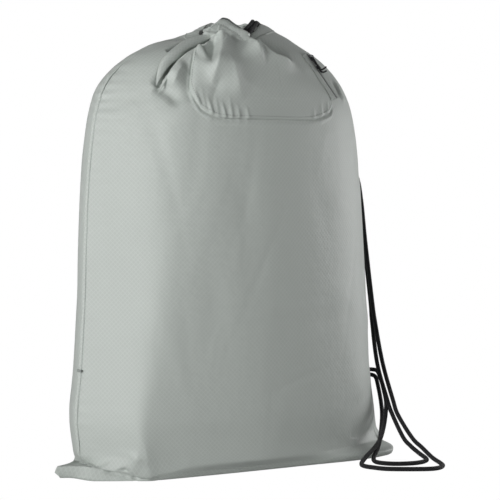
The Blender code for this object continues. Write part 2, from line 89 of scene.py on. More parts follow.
# The boxed left half of the front: station, how square its side face is, how far the
# broad front falls towards it and how late, and the softness of the corner between.
LEFT_BOX = np.array((
    (0.03, 1.43, 0.50, 1.3, 0.0035),
    (0.15, 1.30, 0.54, 1.5, 0.0060),
    (0.30, 1.20, 0.60, 1.9, 0.0090),
    (0.50, 1.15, 0.60, 2.0, 0.0120),
))
LEFT_BOX_END = (0.45, 0.54)
# The floor's left end: where its corner, its tip and its curled point begin, and over
# what widths; how much the point curls up and is blunted; how far the crease above
# reaches to the left and to the right.
LEFT_ENDS = ((-0.12, 0.05), (-0.165, 0.055), (-0.205, 0.035))
TIP_CURL = 0.0035
TIP_BLUNT = 0.03
CREASE_REACH = (-0.203, 0.236)
RIGHT_FLARE = 0.019
LEFT_POINT = 0.007
MOUTH_TILT = 0.17
ZIP_FLAT_AT = (0.499, 0.665)
ZIP_FLAT_SPREAD = (0.03, 0.2)
ZIP_FLAT_DEPTH = 0.006

# The stations of the sheet's rows, as stretches of even steps, and where the rim begins
# to shape them. The rows under the body run through the controls, this far apart.
FOOT = 0.03
ROWS = ((FOOT, 0.43, 0.0035), (0.43, 0.4761, 0.0014), (0.477, 0.6201, 0.0009))
RIM_PULL_FROM = 0.548
BASE_STEPS = (0.09, 0.006, 0.01, 0.016, 0.0105)
BASE_LENGTH = 0.122

# The floor outline from the left tip to the right one, front and back.
FLOOR_FRONT = np.array((
    (-0.246, 0.000), (-0.226, -0.011), (-0.19, -0.036), (-0.16, -0.054),
    (-0.142, -0.062), (-0.07, -0.073), (0.000, -0.081), (0.07, -0.088),
    (0.14, -0.095), (0.188, -0.088), (0.222, -0.058), (0.251, 0.000),
))
FLOOR_BACK = np.array((
    (-0.246, 0.000), (-0.228, 0.007), (-0.2, 0.024), (-0.172, 0.054), (-0.13, 0.08),
    (0.000, 0.092), (0.14, 0.088), (0.19, 0.066), (0.225, 0.03), (0.251, 0.000),
))

# The rim of the mouth from the left seam to the right one: share of the way round,
# and the point there.
RIM_FRONT = np.array((
    (0.00, -0.035, -0.001, 0.531), (0.1, -0.04, -0.012, 0.531),
    (0.2, -0.043, -0.026, 0.529), (0.265, -0.042, -0.036, 0.531),
    (0.28, -0.0412, -0.0375, 0.543), (0.295, -0.037, -0.039, 0.55),
    (0.31, -0.033, -0.04, 0.5525), (0.33, -0.0277, -0.0415, 0.5515),
    (0.355, -0.02, -0.044, 0.545), (0.42, -0.008, -0.049, 0.5265),
    (0.5, 0.005, -0.04, 0.533), (0.62, 0.022, -0.028, 0.541),
    (0.8, 0.04, -0.012, 0.55), (1.00, 0.05, -0.001, 0.5545),
))
RIM_BACK = np.array((
    (0.00, -0.035, 0.001, 0.531), (0.15, -0.034, 0.012, 0.537),
    (0.3, -0.02, 0.024, 0.548), (0.5, 0.01, 0.032, 0.5545),
    (0.7, 0.032, 0.026, 0.5545), (0.85, 0.045, 0.013, 0.555),
    (1.00, 0.05, 0.001, 0.5545),
))
HEM_AT = 0.597
RIM_AT = 0.62

# The pocket's seam from its left top round to its right, as station and across. Its sides
# go on from there up to the hem, as stations and acrosses.
POCKET_SEAM = (
    (0.521, -0.613), (0.508, -0.594), (0.49, -0.575), (0.473, -0.562), (0.461, -0.542),
    (0.451, -0.522), (0.441, -0.489), (0.436, -0.447), (0.431, -0.39), (0.429, -0.309),
    (0.429, -0.226), (0.429, -0.008), (0.429, 0.233), (0.431, 0.368), (0.436, 0.475),
    (0.441, 0.545), (0.449, 0.59),
)
POCKET_BOTTOM = tuple(zip(*sorted((a, s) for s, a in POCKET_SEAM[4:])))
POCKET_LEFT = tuple(zip(*POCKET_SEAM[9::-1], (0.545, -0.56), (0.56, -0.52), (0.597, -0.55)))
POCKET_RIGHT = tuple(zip(
    *POCKET_SEAM[12:16], (0.449, 0.575), (0.465, 0.59), (0.5, 0.595), (0.54, 0.61),
    (0.57, 0.56), (0.597, 0.5),
))
# The puckers along the pocket's seam: where each starts, how far it leans, and its height.
POCKET_PUCKERS = (
    (-0.5, -0.05, 0.03), (-0.46, -0.045, 0.042), (-0.42, -0.04, 0.026),
    (-0.38, -0.03, 0.038), (-0.335, -0.028, 0.022), (-0.29, -0.02, 0.032),
    (-0.24, -0.012, 0.02), (-0.18, -0.006, 0.016), (0.36, 0.02, 0.016),
    (0.44, 0.03, 0.022), (0.51, 0.035, 0.018),
)
PATCH_LIFT = 0.0009

# The room inside each hem for the cord, across the sheet from -1 to 1.
FRONT_CHANNEL = ((-1, -0.9, -0.4, -0.25, 1), (0.0068, 0.0068, 0.0068, 0, 0))
BACK_CHANNEL = ((-1, 0.6, 0.75, 1), (0.0068, 0.0068, 0.001, 0))
# The two rounded gathers at the mouth's left: the line each follows, and its radii.
GATHER_OUT = (-0.35, -0.62, 0.7)
UPPER_GATHER = (
    (-0.1345, -0.049, 0.468), (-0.1275, -0.0478, 0.484), (-0.1195, -0.0465, 0.4965),
    (-0.1065, -0.0455, 0.506), (-0.085, -0.041, 0.518), (-0.065, -0.0385, 0.5265),
    (-0.053, -0.04, 0.531),
)
UPPER_GATHER_RADII = (0.0003, 0.0042, 0.0068, 0.0076, 0.0074, 0.0062, 0.003)
LOWER_GATHER = (
    (-0.1335, -0.052, 0.459), (-0.1235, -0.054, 0.476), (-0.1111, -0.0538, 0.4908),
    (-0.0984, -0.0524, 0.5014), (-0.082, -0.052, 0.509), (-0.066, -0.052, 0.512),
)
LOWER_GATHER_RADII = (0.0003, 0.0016, 0.0026, 0.0028, 0.0024, 0.0003)

# How far the seams draw the cloth in, the number and height of the soft waves and the
# height of the back's pleats, and how deep the drawcord lies in its hem.
SEAM_TUCK = 0.0025
WAVES = 110
WAVE_LIFT = 0.0008
PLEAT_LIFT = 0.004
DRAWCORD_DEEP = 0.0044
# A dark tube on the peak, painted shade for the shadowed inside of the hem: its thickness, and its
# share of the way round the rim.
PEAK_SHADE_THICK = 0.0034
PEAK_SHADE_SHARE = (0.262, 0.372)
# A sewing stitch: its pitch, half length and half thickness, and its outline as places
# along it, how full it is there and how it rises.
STITCH = (0.0031, 0.0011, 0.00028)
STITCH_SHAPE = (
    (-1.0, 0.05, -0.9), (-0.8, 0.7, -0.3), (0.0, 1.0, 0.3), (0.8, 0.7, -0.3), (1.0, 0.05, -0.9),
)

# The zip: its top, its directions, its tapes and coils, and what slides and hangs on it.
ZIP_TOP = np.array((0.0892, -0.0435, 0.514))
ZIP_LENGTH = 0.06748
ZIP_ACROSS = np.array((0.84115, 0.50766, 0.18643))
ZIP_UP = np.array((-0.41361, 0.38179, 0.82653))
ZIP_OUT = np.array((0.34842, -0.77234, 0.53112))
TAPE_FROM = 0.0011
TAPE_WIDTH = 0.0105
TAPE_LIP = 0.0029
TAPE_ROLL = 0.0012
TAPE_CLEAR = 0.0009
COIL_PITCH = 0.00125
COIL_WIRE = 0.00036
COIL_SIZE = (0.00062, 0.00045)
COIL_AT = (0.00085, 0.00245)
COIL_MARGIN = 0.003
SLIDER_DOWN = 0.00725
SLIDER_TOP = 0.0046
SLIDER_PLATE = 0.0012
# The right half of the slider's outline, from its nose to its mouth.
SLIDER_HALF = (
    (0.0016, 0.0042), (0.0027, 0.0034), (0.0029, 0.002), (0.0026, 0.0000),
    (0.0023, -0.0022), (0.0021, -0.0042),
)
PIVOT = np.array((0.094245, -0.050776, 0.511127))
LOOP_CORD = 0.0018
LOOP_LENGTH = 0.011
PULL_CORD = 0.0022
KNOT_SIZE = (0.0052, 0.007, 0.0044)
KNOT_TURNS = 4.5 * pi
PULL_TAILS = {
    "upper": (
        (0.0014, 0.0, 0.0), (0.003, 0.0012, 0.0008), (0.0065, 0.0014, 0.0022),
        (0.0125, 0.0006, 0.0036),
    ),
    "lower": (
        (-0.0014, 0.0, 0.0), (-0.0004, 0.003, 0.0), (0.003, 0.005, 0.0008),
        (0.0095, 0.0052, 0.002),
    ),
}

# The route of each free strand, from the mouth over the back of the right shoulder,
# down beside the bag, round a loop on the floor and up to the anchor.
OUTER_STRAND = (
    (0.0588, 0.0024, 0.5464), (0.0604, 0.009, 0.5474), (0.0648, 0.0165, 0.5462),
    (0.073, 0.024, 0.5415), (0.0845, 0.032, 0.5336), (0.099, 0.0395, 0.524),
    (0.1155, 0.0435, 0.5136), (0.1345, 0.0445, 0.5006), (0.1525, 0.0425, 0.4858),
    (0.1675, 0.038, 0.469), (0.179, 0.0312, 0.4505), (0.1875, 0.023, 0.4305),
    (0.195, 0.015, 0.41), (0.2085, 0.001, 0.3627), (0.2145, -0.002, 0.329),
    (0.22, -0.004, 0.2755), (0.2265, -0.011, 0.195), (0.227, -0.017, 0.166),
    (0.2245, -0.036, 0.113), (0.2165, -0.067, 0.068), (0.212, -0.083, 0.05),
    (0.21, -0.1135, 0.0245), (0.211, -0.132, 0.0142), (0.207, -0.156, 0.0055),
    (0.199, -0.18, 0.0031), (0.189, -0.196, 0.0031), (0.174, -0.204, 0.0031),
    (0.156, -0.2, 0.0031), (0.121, -0.175, 0.0031), (0.111, -0.157, 0.0031),
    (0.108, -0.141, 0.0031), (0.115, -0.128, 0.0034), (0.129, -0.118, 0.0075),
    (0.171, -0.097, 0.0254), (0.211, -0.06, 0.057), (0.2275, -0.034, 0.079),
    (0.236, -0.016, 0.0925), (0.2385, -0.007, 0.0985), (0.235, -0.001, 0.0998),
    (0.2287, 0.0000, 0.1),
)
INNER_STRAND = (
    (0.044, 0.0207, 0.5495), (0.051, 0.0202, 0.5502), (0.0575, 0.024, 0.549),
    (0.0655, 0.0315, 0.5438), (0.076, 0.0385, 0.535), (0.0895, 0.046, 0.5242),
    (0.105, 0.051, 0.5136), (0.1245, 0.053, 0.5006), (0.143, 0.0522, 0.4858),
    (0.16, 0.048, 0.469), (0.1735, 0.0412, 0.4505), (0.184, 0.0325, 0.4305),
    (0.193, 0.0245, 0.41), (0.212, 0.0095, 0.3627), (0.2195, 0.006, 0.329),
    (0.224, 0.004, 0.2755), (0.23, -0.003, 0.1945), (0.229, -0.008, 0.1665),
    (0.2222, -0.0275, 0.112), (0.2135, -0.0582, 0.0692), (0.209, -0.074, 0.0514),
    (0.2035, -0.103, 0.0248), (0.2034, -0.118, 0.0154), (0.204, -0.134, 0.0082),
    (0.203, -0.149, 0.0036), (0.193, -0.159, 0.0031), (0.177, -0.163, 0.0031),
    (0.16, -0.159, 0.0031), (0.146, -0.15, 0.0031), (0.138, -0.137, 0.0031),
    (0.14, -0.123, 0.003), (0.148, -0.112, 0.006), (0.173, -0.092, 0.0184),
    (0.204, -0.06, 0.043), (0.218, -0.041, 0.061), (0.23, -0.02, 0.08),
    (0.2355, -0.008, 0.0903), (0.2335, -0.001, 0.0928), (0.2287, 0.0000, 0.093),
)


# fmt: on
# ---------------- helpers for the scene


def add_object(name, data, *materials):
    """A new object in the scene, with the materials of its mesh."""
    for material in materials:
        data.materials.append(material)
    obj = bpy.data.objects.new(name, data)
    SCENE.collection.objects.link(obj)
    return obj


def feed(socket, value):
    """Give an input a value, or link another node's output to it."""
    if isinstance(value, bpy.types.NodeSocket):
        socket.id_data.links.new(value, socket)
    else:
        socket.default_value = value


def new_node(tree, kind, inputs=(), **settings):
    node = tree.nodes.new(kind)
    for name, value in settings.items():
        setattr(node, name, value)
    for socket, value in dict(inputs).items():
        feed(node.inputs[socket], value)
    return node


def ranged(tree, factor, low, high, full=1.0):
    """Spread a factor that runs from 0 to full over the range from low to high."""
    inputs = {"Value": factor, "From Max": full, "To Min": low, "To Max": high}
    return new_node(tree, "ShaderNodeMapRange", inputs).outputs["Result"]


def seen_apart(tree, lights, seen, output):
    """Use one shader for the light it gives, and another for what the camera sees."""
    camera_ray = new_node(tree, "ShaderNodeLightPath").outputs["Is Camera Ray"]
    both = new_node(tree, "ShaderNodeMixShader", {0: camera_ray, 1: lights, 2: seen})
    feed(tree.nodes[output].inputs["Surface"], both.outputs["Shader"])


# ---------------- camera and light


def make_camera():
    data = bpy.data.cameras.new("camera")
    data.lens = CAMERA_LENS
    camera = add_object("camera", data)
    camera.location = CAMERA_AT
    camera.rotation_euler = (radians(90 - CAMERA_DIP), 0.0, radians(-CAMERA_TURN))
    SCENE.camera = camera


def area_light(name, at, target, size, power):
    data = bpy.data.lights.new(name, "AREA")
    data.shape = "RECTANGLE"
    data.size, data.size_y = size
    data.energy = power
    light = add_object(name, data)
    light.location = at
    aim = Vector(target) - Vector(at)
    light.rotation_euler = aim.to_track_quat("-Z", "Y").to_euler()


def make_light():
    """A white room, darker overhead, a soft light at the left and a weak one at the right."""
    world = bpy.data.worlds.new("white_room")
    world.use_nodes = True
    tree = world.node_tree
    way = new_node(tree, "ShaderNodeTexCoord").outputs["Generated"]
    up = new_node(tree, "ShaderNodeSeparateXYZ", {"Vector": way}).outputs["Z"]
    soft = tree.nodes["Background"]
    feed(soft.inputs["Color"], (*WHITE, 1.0))
    feed(soft.inputs["Strength"], ranged(tree, up, *ROOM_GLOW, full=ROOM_GLOW_TOP))
    plain = new_node(tree, "ShaderNodeBackground", {"Color": (*WHITE, 1.0), "Strength": 1.0})
    seen_apart(tree, soft.outputs[0], plain.outputs[0], "World Output")
    SCENE.world = world
    SCENE.view_settings.view_transform = "Standard"
    area_light("left_light", *LEFT_LIGHT)
    area_light("right_light", *RIGHT_LIGHT)


def make_floor():
    """A pale matt floor, which the camera sees as plain white."""
    mesh = bpy.data.meshes.new("floor")
    corners = [(x * FLOOR_HALF, y * FLOOR_HALF, 0) for x, y in ((-1, -1), (1, -1), (1, 1), (-1, 1))]
    mesh.from_pydata(corners, [], [(0, 1, 2, 3)])
    material, tree, cloth = principled("white_floor", FLOOR_COLOUR, 0.9)
    glow = new_node(tree, "ShaderNodeEmission")
    seen_apart(tree, cloth.outputs[0], glow.outputs[0], "Material Output")
    add_object("floor", mesh, material)


# ---------------- curves and tables


def smooth(knots, values, at):
    """Read values along a smooth curve with no overshoot, at many places at once."""
    knots, values, at = (np.asarray(a, float) for a in (knots, values, at))
    step = np.diff(knots)
    slope = np.diff(values) / step
    before, after = slope[:-1], slope[1:]
    same_way = before * after > 0
    total = np.where(same_way, before + after, 1.0)
    middle = np.where(same_way, 2 * before * after / total, 0.0)
    tangent = np.concatenate(([slope[0]], middle, [slope[-1]]))
    at = np.clip(at, knots[0], knots[-1])
    i = np.clip(np.searchsorted(knots, at, side="right") - 1, 0, len(step) - 1)
    t = (at - knots[i]) / step[i]
    return (
        values[i] * (1 + 2 * t) * (1 - t) ** 2
        + values[i + 1] * t * t * (3 - 2 * t)
        + tangent[i] * step[i] * t * (1 - t) ** 2
        + tangent[i + 1] * step[i] * t * t * (t - 1)
    )


def ease(value):
    """0 to 1 with a soft start and end."""
    value = np.clip(value, 0.0, 1.0)
    return value * value * (3 - 2 * value)


def unit(vectors):
    """The same directions, each 1 long."""
    return vectors / np.linalg.norm(vectors, axis=-1, keepdims=True)


def run_along(points):
    """How far along a line each of its points lies."""
    return np.concatenate(([0], np.cumsum(np.linalg.norm(np.diff(points, axis=0), axis=1))))


def rise_up(points):
    """How far up a grid each of its rows lies, on average."""
    tall = np.linalg.norm(np.diff(points, axis=0), axis=2).mean(axis=1)
    return np.concatenate(([0], np.cumsum(tall)))


def along_route(route, count):
    """Evenly spaced points along the smooth curve through a route."""
    nodes = np.array(route, float)
    nodes = np.vstack((2 * nodes[0] - nodes[1], nodes, 2 * nodes[-1] - nodes[-2]))
    t = np.arange(0, 1, 0.05)[:, None]
    fine = []
    for a, b, c, d in zip(nodes, nodes[1:], nodes[2:], nodes[3:]):
        square = (2 * a - 5 * b + 4 * c - d) * t**2
        cube = (3 * b - a - 3 * c + d) * t**3
        fine.append(0.5 * (2 * b + (c - a) * t + square + cube))
    fine = np.vstack((*fine, nodes[-2:-1]))
    reach = run_along(fine)
    wanted = np.linspace(0, reach[-1], count)
    return np.stack([np.interp(wanted, reach, fine[:, k]) for k in range(3)], axis=1)


# ---------------- the fabric's shape


def base_row(side, across, level):
    """One row of the part under the body: 0 seam, 1 outline, 2 edge, 3 crease."""
    outline = FLOOR_FRONT if side < 0 else FLOOR_BACK
    order = np.linspace(0, 1, len(outline))
    tip_left, tip_right = outline[0, 0], outline[-1, 0]
    middle, half = (tip_left + tip_right) / 2, (tip_right - tip_left) / 2
    x = middle + half * across
    steps = np.linspace(0, 1, 400)
    dense = np.stack([smooth(order, outline[:, k], steps) for k in (0, 1)], axis=1)
    depth = np.interp(x, dense[:, 0], np.abs(dense[:, 1]))
    inner = 1 - np.abs(across) ** 6
    left, tip, end = (ease((start - x) / width) for start, width in LEFT_ENDS)
    curl, blunt = TIP_CURL * end, 1 - TIP_BLUNT * end
    if level == 0:
        return np.stack((x * 0.95, side * (SEAM + 0 * x), 0.0004 + curl), axis=1)
    if level == 1:
        return np.stack((x * blunt, side * (SEAM + depth), 0.0004 + curl), axis=1)
    if level == 2:
        rise = (0.003 + 0.005 * inner) * (1 - left) + (0.0035 + 0.015 * tip) * left
        depth = depth + 0.006 * inner * (1 - left)
        return np.stack((x * 0.997 * (0.4 + 0.6 * blunt), side * (SEAM + depth), rise), axis=1)
    ring = body_rows(side, across, np.array([FOOT]))[0]
    share = (0.8 + 0.12 * inner) * (1 - left) + 0.45 * left if side < 0 else 0.55
    share = np.reshape(share, (-1, 1))
    floor = np.stack((x, side * (SEAM + depth), 0 * x), axis=1)
    row = ring * share + floor * (1 - share)
    row[:, 2] = (0.0135 + 0.004 * inner) * (1 - left) + (0.005 + 0.011 * tip) * left
    row[:, 0] = np.clip(row[:, 0], *CREASE_REACH)
    return row


def boxed(stations, across, half, depth):
    """How far the front's left half stands out: a side face, a soft corner, a broad front."""
    read = [np.interp(stations, LEFT_BOX[:, 0], LEFT_BOX[:, k])[:, None] for k in range(1, 5)]
    face, fall, power, soft = read
    left = np.minimum(across, 0)
    side_face = (1 + left) * half * face
    broad = depth * (1 - fall * np.abs(left) ** power)
    joined = -soft * np.logaddexp(-side_face / soft, -broad / soft)
    start = -soft * np.logaddexp(0, -depth * (1 - fall) / soft)
    end = -soft * np.logaddexp(-half * face / soft, -depth / soft)
    return (joined - start) / (end - start) * depth


def body_rows(side, across, stations):
    """Rows of points on the body's outside, one row for each station."""
    read = [smooth(BODY[:, 0], BODY[:, k], stations)[:, None] for k in range(1, 8)]
    height, half, front, back, sharp, roundness, middle = read
    depth = front if side < 0 else back
    sharp = sharp + (BACK_FULLNESS if side > 0 else 0.0)
    fall = np.maximum(0.0, 1 - np.abs(across) ** sharp)
    reach = depth * fall ** (1 / roundness)
    if side < 0:
        start, end = LEFT_BOX_END
        flat = (1 - ease((stations[:, None] - start) / (end - start))) * (across < 0)
        reach = reach * (1 - flat) + boxed(stations, across, half, depth) * flat
    y = side * (SEAM + reach)
    if side < 0:
        away = (stations[:, None] - ZIP_FLAT_AT[0]) / ZIP_FLAT_SPREAD[0]
        aside = (across - ZIP_FLAT_AT[1]) / ZIP_FLAT_SPREAD[1]
        y = np.minimum(y + ZIP_FLAT_DEPTH * np.exp(-(away**2) - aside**2), -SEAM)
    rise = np.clip((stations[:, None] - BODY[-3, 0]) / (BODY[-1, 0] - BODY[-3, 0]), 0, 1)
    x = middle + half * across
    return np.stack((x, y, height + MOUTH_TILT * rise * y), axis=2)


class Sheet:
    """A fabric panel as a grid of points, with rows from the bottom seam to the rim."""

    def __init__(self, side, columns, fine):
        self.side = side
        self.across = -np.cos(pi * np.linspace(0, 1, columns + 1))
        lower = [base_row(side, self.across, level) for level in range(4)]
        stations = np.concatenate([np.arange(low, high, step * fine) for low, high, step in ROWS])
        upper = body_rows(side, self.across, stations)
        rim = RIM_FRONT if side < 0 else RIM_BACK
        share = np.linspace(0, 1, columns + 1)
        edge = np.stack([smooth(rim[:, 0], rim[:, k], share) for k in (1, 2, 3)], axis=1)
        pull = ease((stations - RIM_PULL_FROM) / (RIM_AT - RIM_PULL_FROM))[:, None, None]
        upper = upper + pull * (edge - upper[-1])
        controls = np.array([*lower, upper[0], upper[3]])
        # The lower rows are joined by a smooth curve through the control rows.
        knots = np.concatenate(([0], np.cumsum(BASE_STEPS)))
        stretches = ((0, knots[1], 14), (knots[1], BASE_LENGTH, 22))
        at = np.concatenate([np.linspace(*stretch, endpoint=False) for stretch in stretches])
        base = np.array([
            [smooth(knots, controls[:, c, k], at) for k in range(3)] for c in range(columns + 1)
        ])
        base = base.transpose(2, 0, 1)
        self.points = np.vstack((base, upper))
        aside, up = self.points[:, :, 0], self.points[:, :, 2]
        low = np.clip((0.085 - up) / 0.07, 0, 1) ** 1.4 * ease((up - 0.006) / 0.012)
        self.points[:, :, 0] += RIGHT_FLARE * low * ease((aside - 0.15) / 0.06)
        point = np.exp(-(((up - 0.012) / 0.005) ** 2)) * ease((-0.215 - aside) / 0.028)
        self.points[:, :, 0] -= LEFT_POINT * point
        self.stations = np.concatenate((at - BASE_LENGTH + FOOT - 0.0001, stations))
        self.rest = self.points.copy()
        self.measure()

    def measure(self):
        """Take the outward normals of the sheet as it now is."""
        along = np.gradient(self.points, axis=1)
        up = np.gradient(self.points, axis=0)
        normal = np.cross(along, up) * -self.side
        self.normal = normal / np.maximum(np.linalg.norm(normal, axis=2, keepdims=True), 1e-12)

    def at(self, station, across, lift=0.0):
        """Points lifted off the worked sheet, and the outward normals there."""
        station, across = np.broadcast_arrays(station, across)
        row = np.interp(station, self.stations, np.arange(len(self.stations)))
        column = np.interp(across, self.across, np.arange(len(self.across)))
        i = np.minimum(row.astype(int), len(self.stations) - 2)
        j = np.minimum(column.astype(int), len(self.across) - 2)
        u, v = (row - i)[..., None], (column - j)[..., None]

        def read(grid):
            low = grid[i, j] * (1 - v) + grid[i, j + 1] * v
            high = grid[i + 1, j] * (1 - v) + grid[i + 1, j + 1] * v
            return low * (1 - u) + high * u

        normal = unit(read(self.normal))
        return read(self.points) + np.asarray(lift)[..., None] * normal, normal


def flat_cloth(points):
    """Where each point of a grid lies in the flat cloth, in metres."""
    wide = np.cumsum(np.linalg.norm(np.diff(points, axis=1), axis=2), axis=1)
    wide = np.pad(wide, ((0, 0), (1, 0)))
    wide -= wide[:, wide.shape[1] // 2][:, None]
    return np.stack(np.broadcast_arrays(wide, rise_up(points)[:, None]), axis=2)


def grid_piece(name, points, cloth, material, turned=False):
    """A smooth surface through a grid of points, with the cloth's coordinates in metres."""
    rows, columns = points.shape[:2]
    index = np.arange(rows * columns).reshape(rows, columns)
    faces = np.stack((index[:-1, :-1], index[:-1, 1:], index[1:, 1:], index[1:, :-1]), axis=2)
    if turned:
        faces = faces[:, :, ::-1]
    mesh = bpy.data.meshes.new(name)
    mesh.from_pydata(points.reshape(-1, 3).tolist(), [], faces.reshape(-1, 4).tolist())
    loops = np.empty(len(mesh.loops), int)
    mesh.loops.foreach_get("vertex_index", loops)
    layer = mesh.uv_layers.new(name="cloth")
    layer.data.foreach_set("uv", cloth.reshape(-1, 2)[loops].ravel())
    mesh.shade_smooth()
    return add_object(name, mesh, material)


def fold(sheet, line, height, left, right, ends=(0.25, 0.25), crisp=2.0):
    """Raise or sink the cloth along a line that lies on it.

    left and right are how far the fold reaches to each side of the line, seen from
    outside and looking along it. ends are the shares of the line over which it starts
    and dies away, and crisp is 2 for a round crest and near 1 for a creased one.
    """
    curve = along_route(line, 48)
    run = np.diff(curve, axis=0)
    length = np.linalg.norm(run, axis=1)
    start = run_along(curve)
    reach = 3.0 * max(left, right)
    low, high = curve.min(axis=0) - reach, curve.max(axis=0) + reach
    near = np.all((sheet.rest > low) & (sheet.rest < high), axis=2)
    if not near.any():
        return
    point, normal = sheet.rest[near], sheet.normal[near]
    offset = point[:, None] - curve[None, :-1]
    share = np.clip((offset * run).sum(axis=2) / length**2, 0, 1)
    away = offset - share[:, :, None] * run
    distance = np.linalg.norm(away, axis=2)
    pick = np.argmin(distance, axis=1)
    row = np.arange(len(pick))
    way = run[pick] / length[pick, None]
    side = np.cross(normal, way)
    side /= np.maximum(np.linalg.norm(side, axis=1, keepdims=True), 1e-9)
    signed = (away[row, pick] * side).sum(axis=1)
    along = (start[pick] + share[row, pick] * length[pick]) / start[-1]
    width = np.where(signed > 0, left, right)
    shape = height * np.exp(-((distance[row, pick] / width) ** crisp))
    for end, from_end in zip(ends, (along, 1 - along)):
        if end:
            shape = shape * ease(from_end / end)
    sheet.points[near] += shape[:, None] * normal


def thicken(obj, thickness):
    """Give a sheet its thickness, on the inside."""
    solidify = obj.modifiers.new("Thickness", "SOLIDIFY")
    solidify.thickness = thickness
    solidify.offset = -1.0


# ---------------- materials


def principled(name, colour, roughness, **settings):
    """A material and its shader, with more of the shader's inputs by name."""
    material = bpy.data.materials.new(name)
    material.use_nodes = True
    shader = material.node_tree.nodes["Principled BSDF"]
    settings = {"Base Color": (*colour, 1.0), "Roughness": roughness, **settings}
    for socket, value in settings.items():
        feed(shader.inputs[socket.replace("_", " ")], value)
    return material, material.node_tree, shader


def surface(shader, colour, wear, low, high, *bumps):
    """Feed a shader a colour, a roughness that follows the wear, and bumps.

    Each bump is a height and its depth in metres, and lies on the bumps before it.
    """
    tree = shader.id_data
    feed(shader.inputs["Base Color"], colour)
    feed(shader.inputs["Roughness"], ranged(tree, wear, low, high))
    below = {}
    for height, depth in bumps:
        inputs = {"Strength": 1.0, "Distance": depth, "Height": height, **below}
        below = {"Normal": new_node(tree, "ShaderNodeBump", inputs).outputs["Normal"]}
    feed(shader.inputs["Normal"], below["Normal"])


def lines_both_ways(tree, period, turn, thin):
    """1 on two crossing sets of lines in the cloth, and 0 between them."""
    place = new_node(tree, "ShaderNodeUVMap", uv_map="cloth").outputs["UV"]
    scale = (1 / period, 1 / period, 1)
    inputs = {"Vector": place, "Rotation": (0, 0, radians(turn)), "Scale": scale}
    turned = new_node(tree, "ShaderNodeMapping", inputs).outputs["Vector"]
    both = new_node(tree, "ShaderNodeMath", operation="MAXIMUM")
    for k, way in enumerate(("X", "Y")):
        wave = {"Vector": turned, "Scale": pi / 10}
        wave = new_node(tree, "ShaderNodeTexWave", wave, bands_direction=way).outputs["Fac"]
        narrow = {"Value": wave, "From Min": thin, "From Max": 1.0}
        feed(both.inputs[k], new_node(tree, "ShaderNodeMapRange", narrow).outputs["Result"])
    return both.outputs["Value"]


def slanted_lines(tree, scale):
    """Slanted ribs in the object's own coordinates."""
    place = new_node(tree, "ShaderNodeTexCoord").outputs["Object"]
    inputs = {"Vector": place, "Scale": scale}
    return new_node(tree, "ShaderNodeTexWave", inputs, bands_direction="DIAGONAL").outputs["Fac"]


def cloudy(tree, scale):
    """Uneven patches, in the object's own coordinates."""
    place = new_node(tree, "ShaderNodeTexCoord").outputs["Object"]
    inputs = {"Vector": place, "Scale": scale, "Detail": 3.0}
    return new_node(tree, "ShaderNodeTexNoise", inputs).outputs["Fac"]


def mixed(tree, factor, first, second):
    """A colour that goes from first to second, either of which may be a socket."""
    first, second = ((*v, 1.0) if isinstance(v, tuple) else v for v in (first, second))
    inputs = {0: factor, 6: first, 7: second}
    return new_node(tree, "ShaderNodeMix", data_type="RGBA", inputs=inputs).outputs[2]


def ripstop_material():
    """Thin coated nylon with a fine diamond grid of thicker threads."""
    material, tree, shader = principled(
        "ripstop", CLOTH_COLOUR, 0.5,
        Specular_IOR_Level=0.4, Sheen_Weight=0.12, Sheen_Roughness=0.5,
    )
    grid = lines_both_ways(tree, 0.004, 45, 0.8)
    weave = lines_both_ways(tree, 0.0006, 0, 0.0)
    broad, fine = cloudy(tree, 7.0), cloudy(tree, 60.0)
    body = mixed(tree, broad, (0.452, 0.49, 0.459), (0.478, 0.515, 0.485))
    worn = mixed(tree, ranged(tree, fine, 0.0, 0.5), body, (0.49, 0.525, 0.497))
    lined = mixed(tree, ranged(tree, grid, 0.0, 0.38), worn, (0.6, 0.64, 0.61))
    bumps = (weave, 0.00003), (grid, 0.00009), (cloudy(tree, 110.0), 0.0005)
    surface(shader, lined, fine, 0.4, 0.56, *bumps)
    return material


def twill_material(name, colour, lighter, period):
    """Woven tape with slanted ribs."""
    material, tree, shader = principled(
        name, colour, 0.75, Specular_IOR_Level=0.3, Sheen_Weight=0.2
    )
    ribs = lines_both_ways(tree, period, 30, 0.1)
    fine = cloudy(tree, 300.0)
    toned = mixed(tree, ranged(tree, ribs, 0.0, 0.7), colour, lighter)
    worn = mixed(tree, ranged(tree, fine, 0, 0.3), toned, lighter)
    surface(shader, worn, fine, 0.65, 0.85, (ribs, 0.0001))
    return material


def plain_tape_material(name, colour, lighter):
    """Tape on a carried-over solid, woven from the object's own coordinates."""
    material, tree, shader = principled(name, colour, 0.8, Specular_IOR_Level=0.3)
    weave = slanted_lines(tree, 180.0)
    toned = mixed(tree, weave, colour, lighter)
    surface(shader, toned, cloudy(tree, 400.0), 0.7, 0.9, (weave, 0.0001))
    return material


def cord_material():
    """Black braided cord: crossing strands, with a little dust on their crowns."""
    material, tree, shader = principled(
        "black_cord", (0.014, 0.014, 0.016), 0.7, Sheen_Weight=0.08, Specular_IOR_Level=0.25
    )
    braid = lines_both_ways(tree, 0.0011, 38, 0.0)
    fine = cloudy(tree, 500.0)
    toned = mixed(tree, braid, (0.006, 0.006, 0.007), (0.016, 0.016, 0.018))
    dusty = mixed(tree, ranged(tree, fine, 0, 0.3), toned, (0.026, 0.026, 0.028))
    surface(shader, dusty, fine, 0.6, 0.85, (braid, 0.0004))
    return material


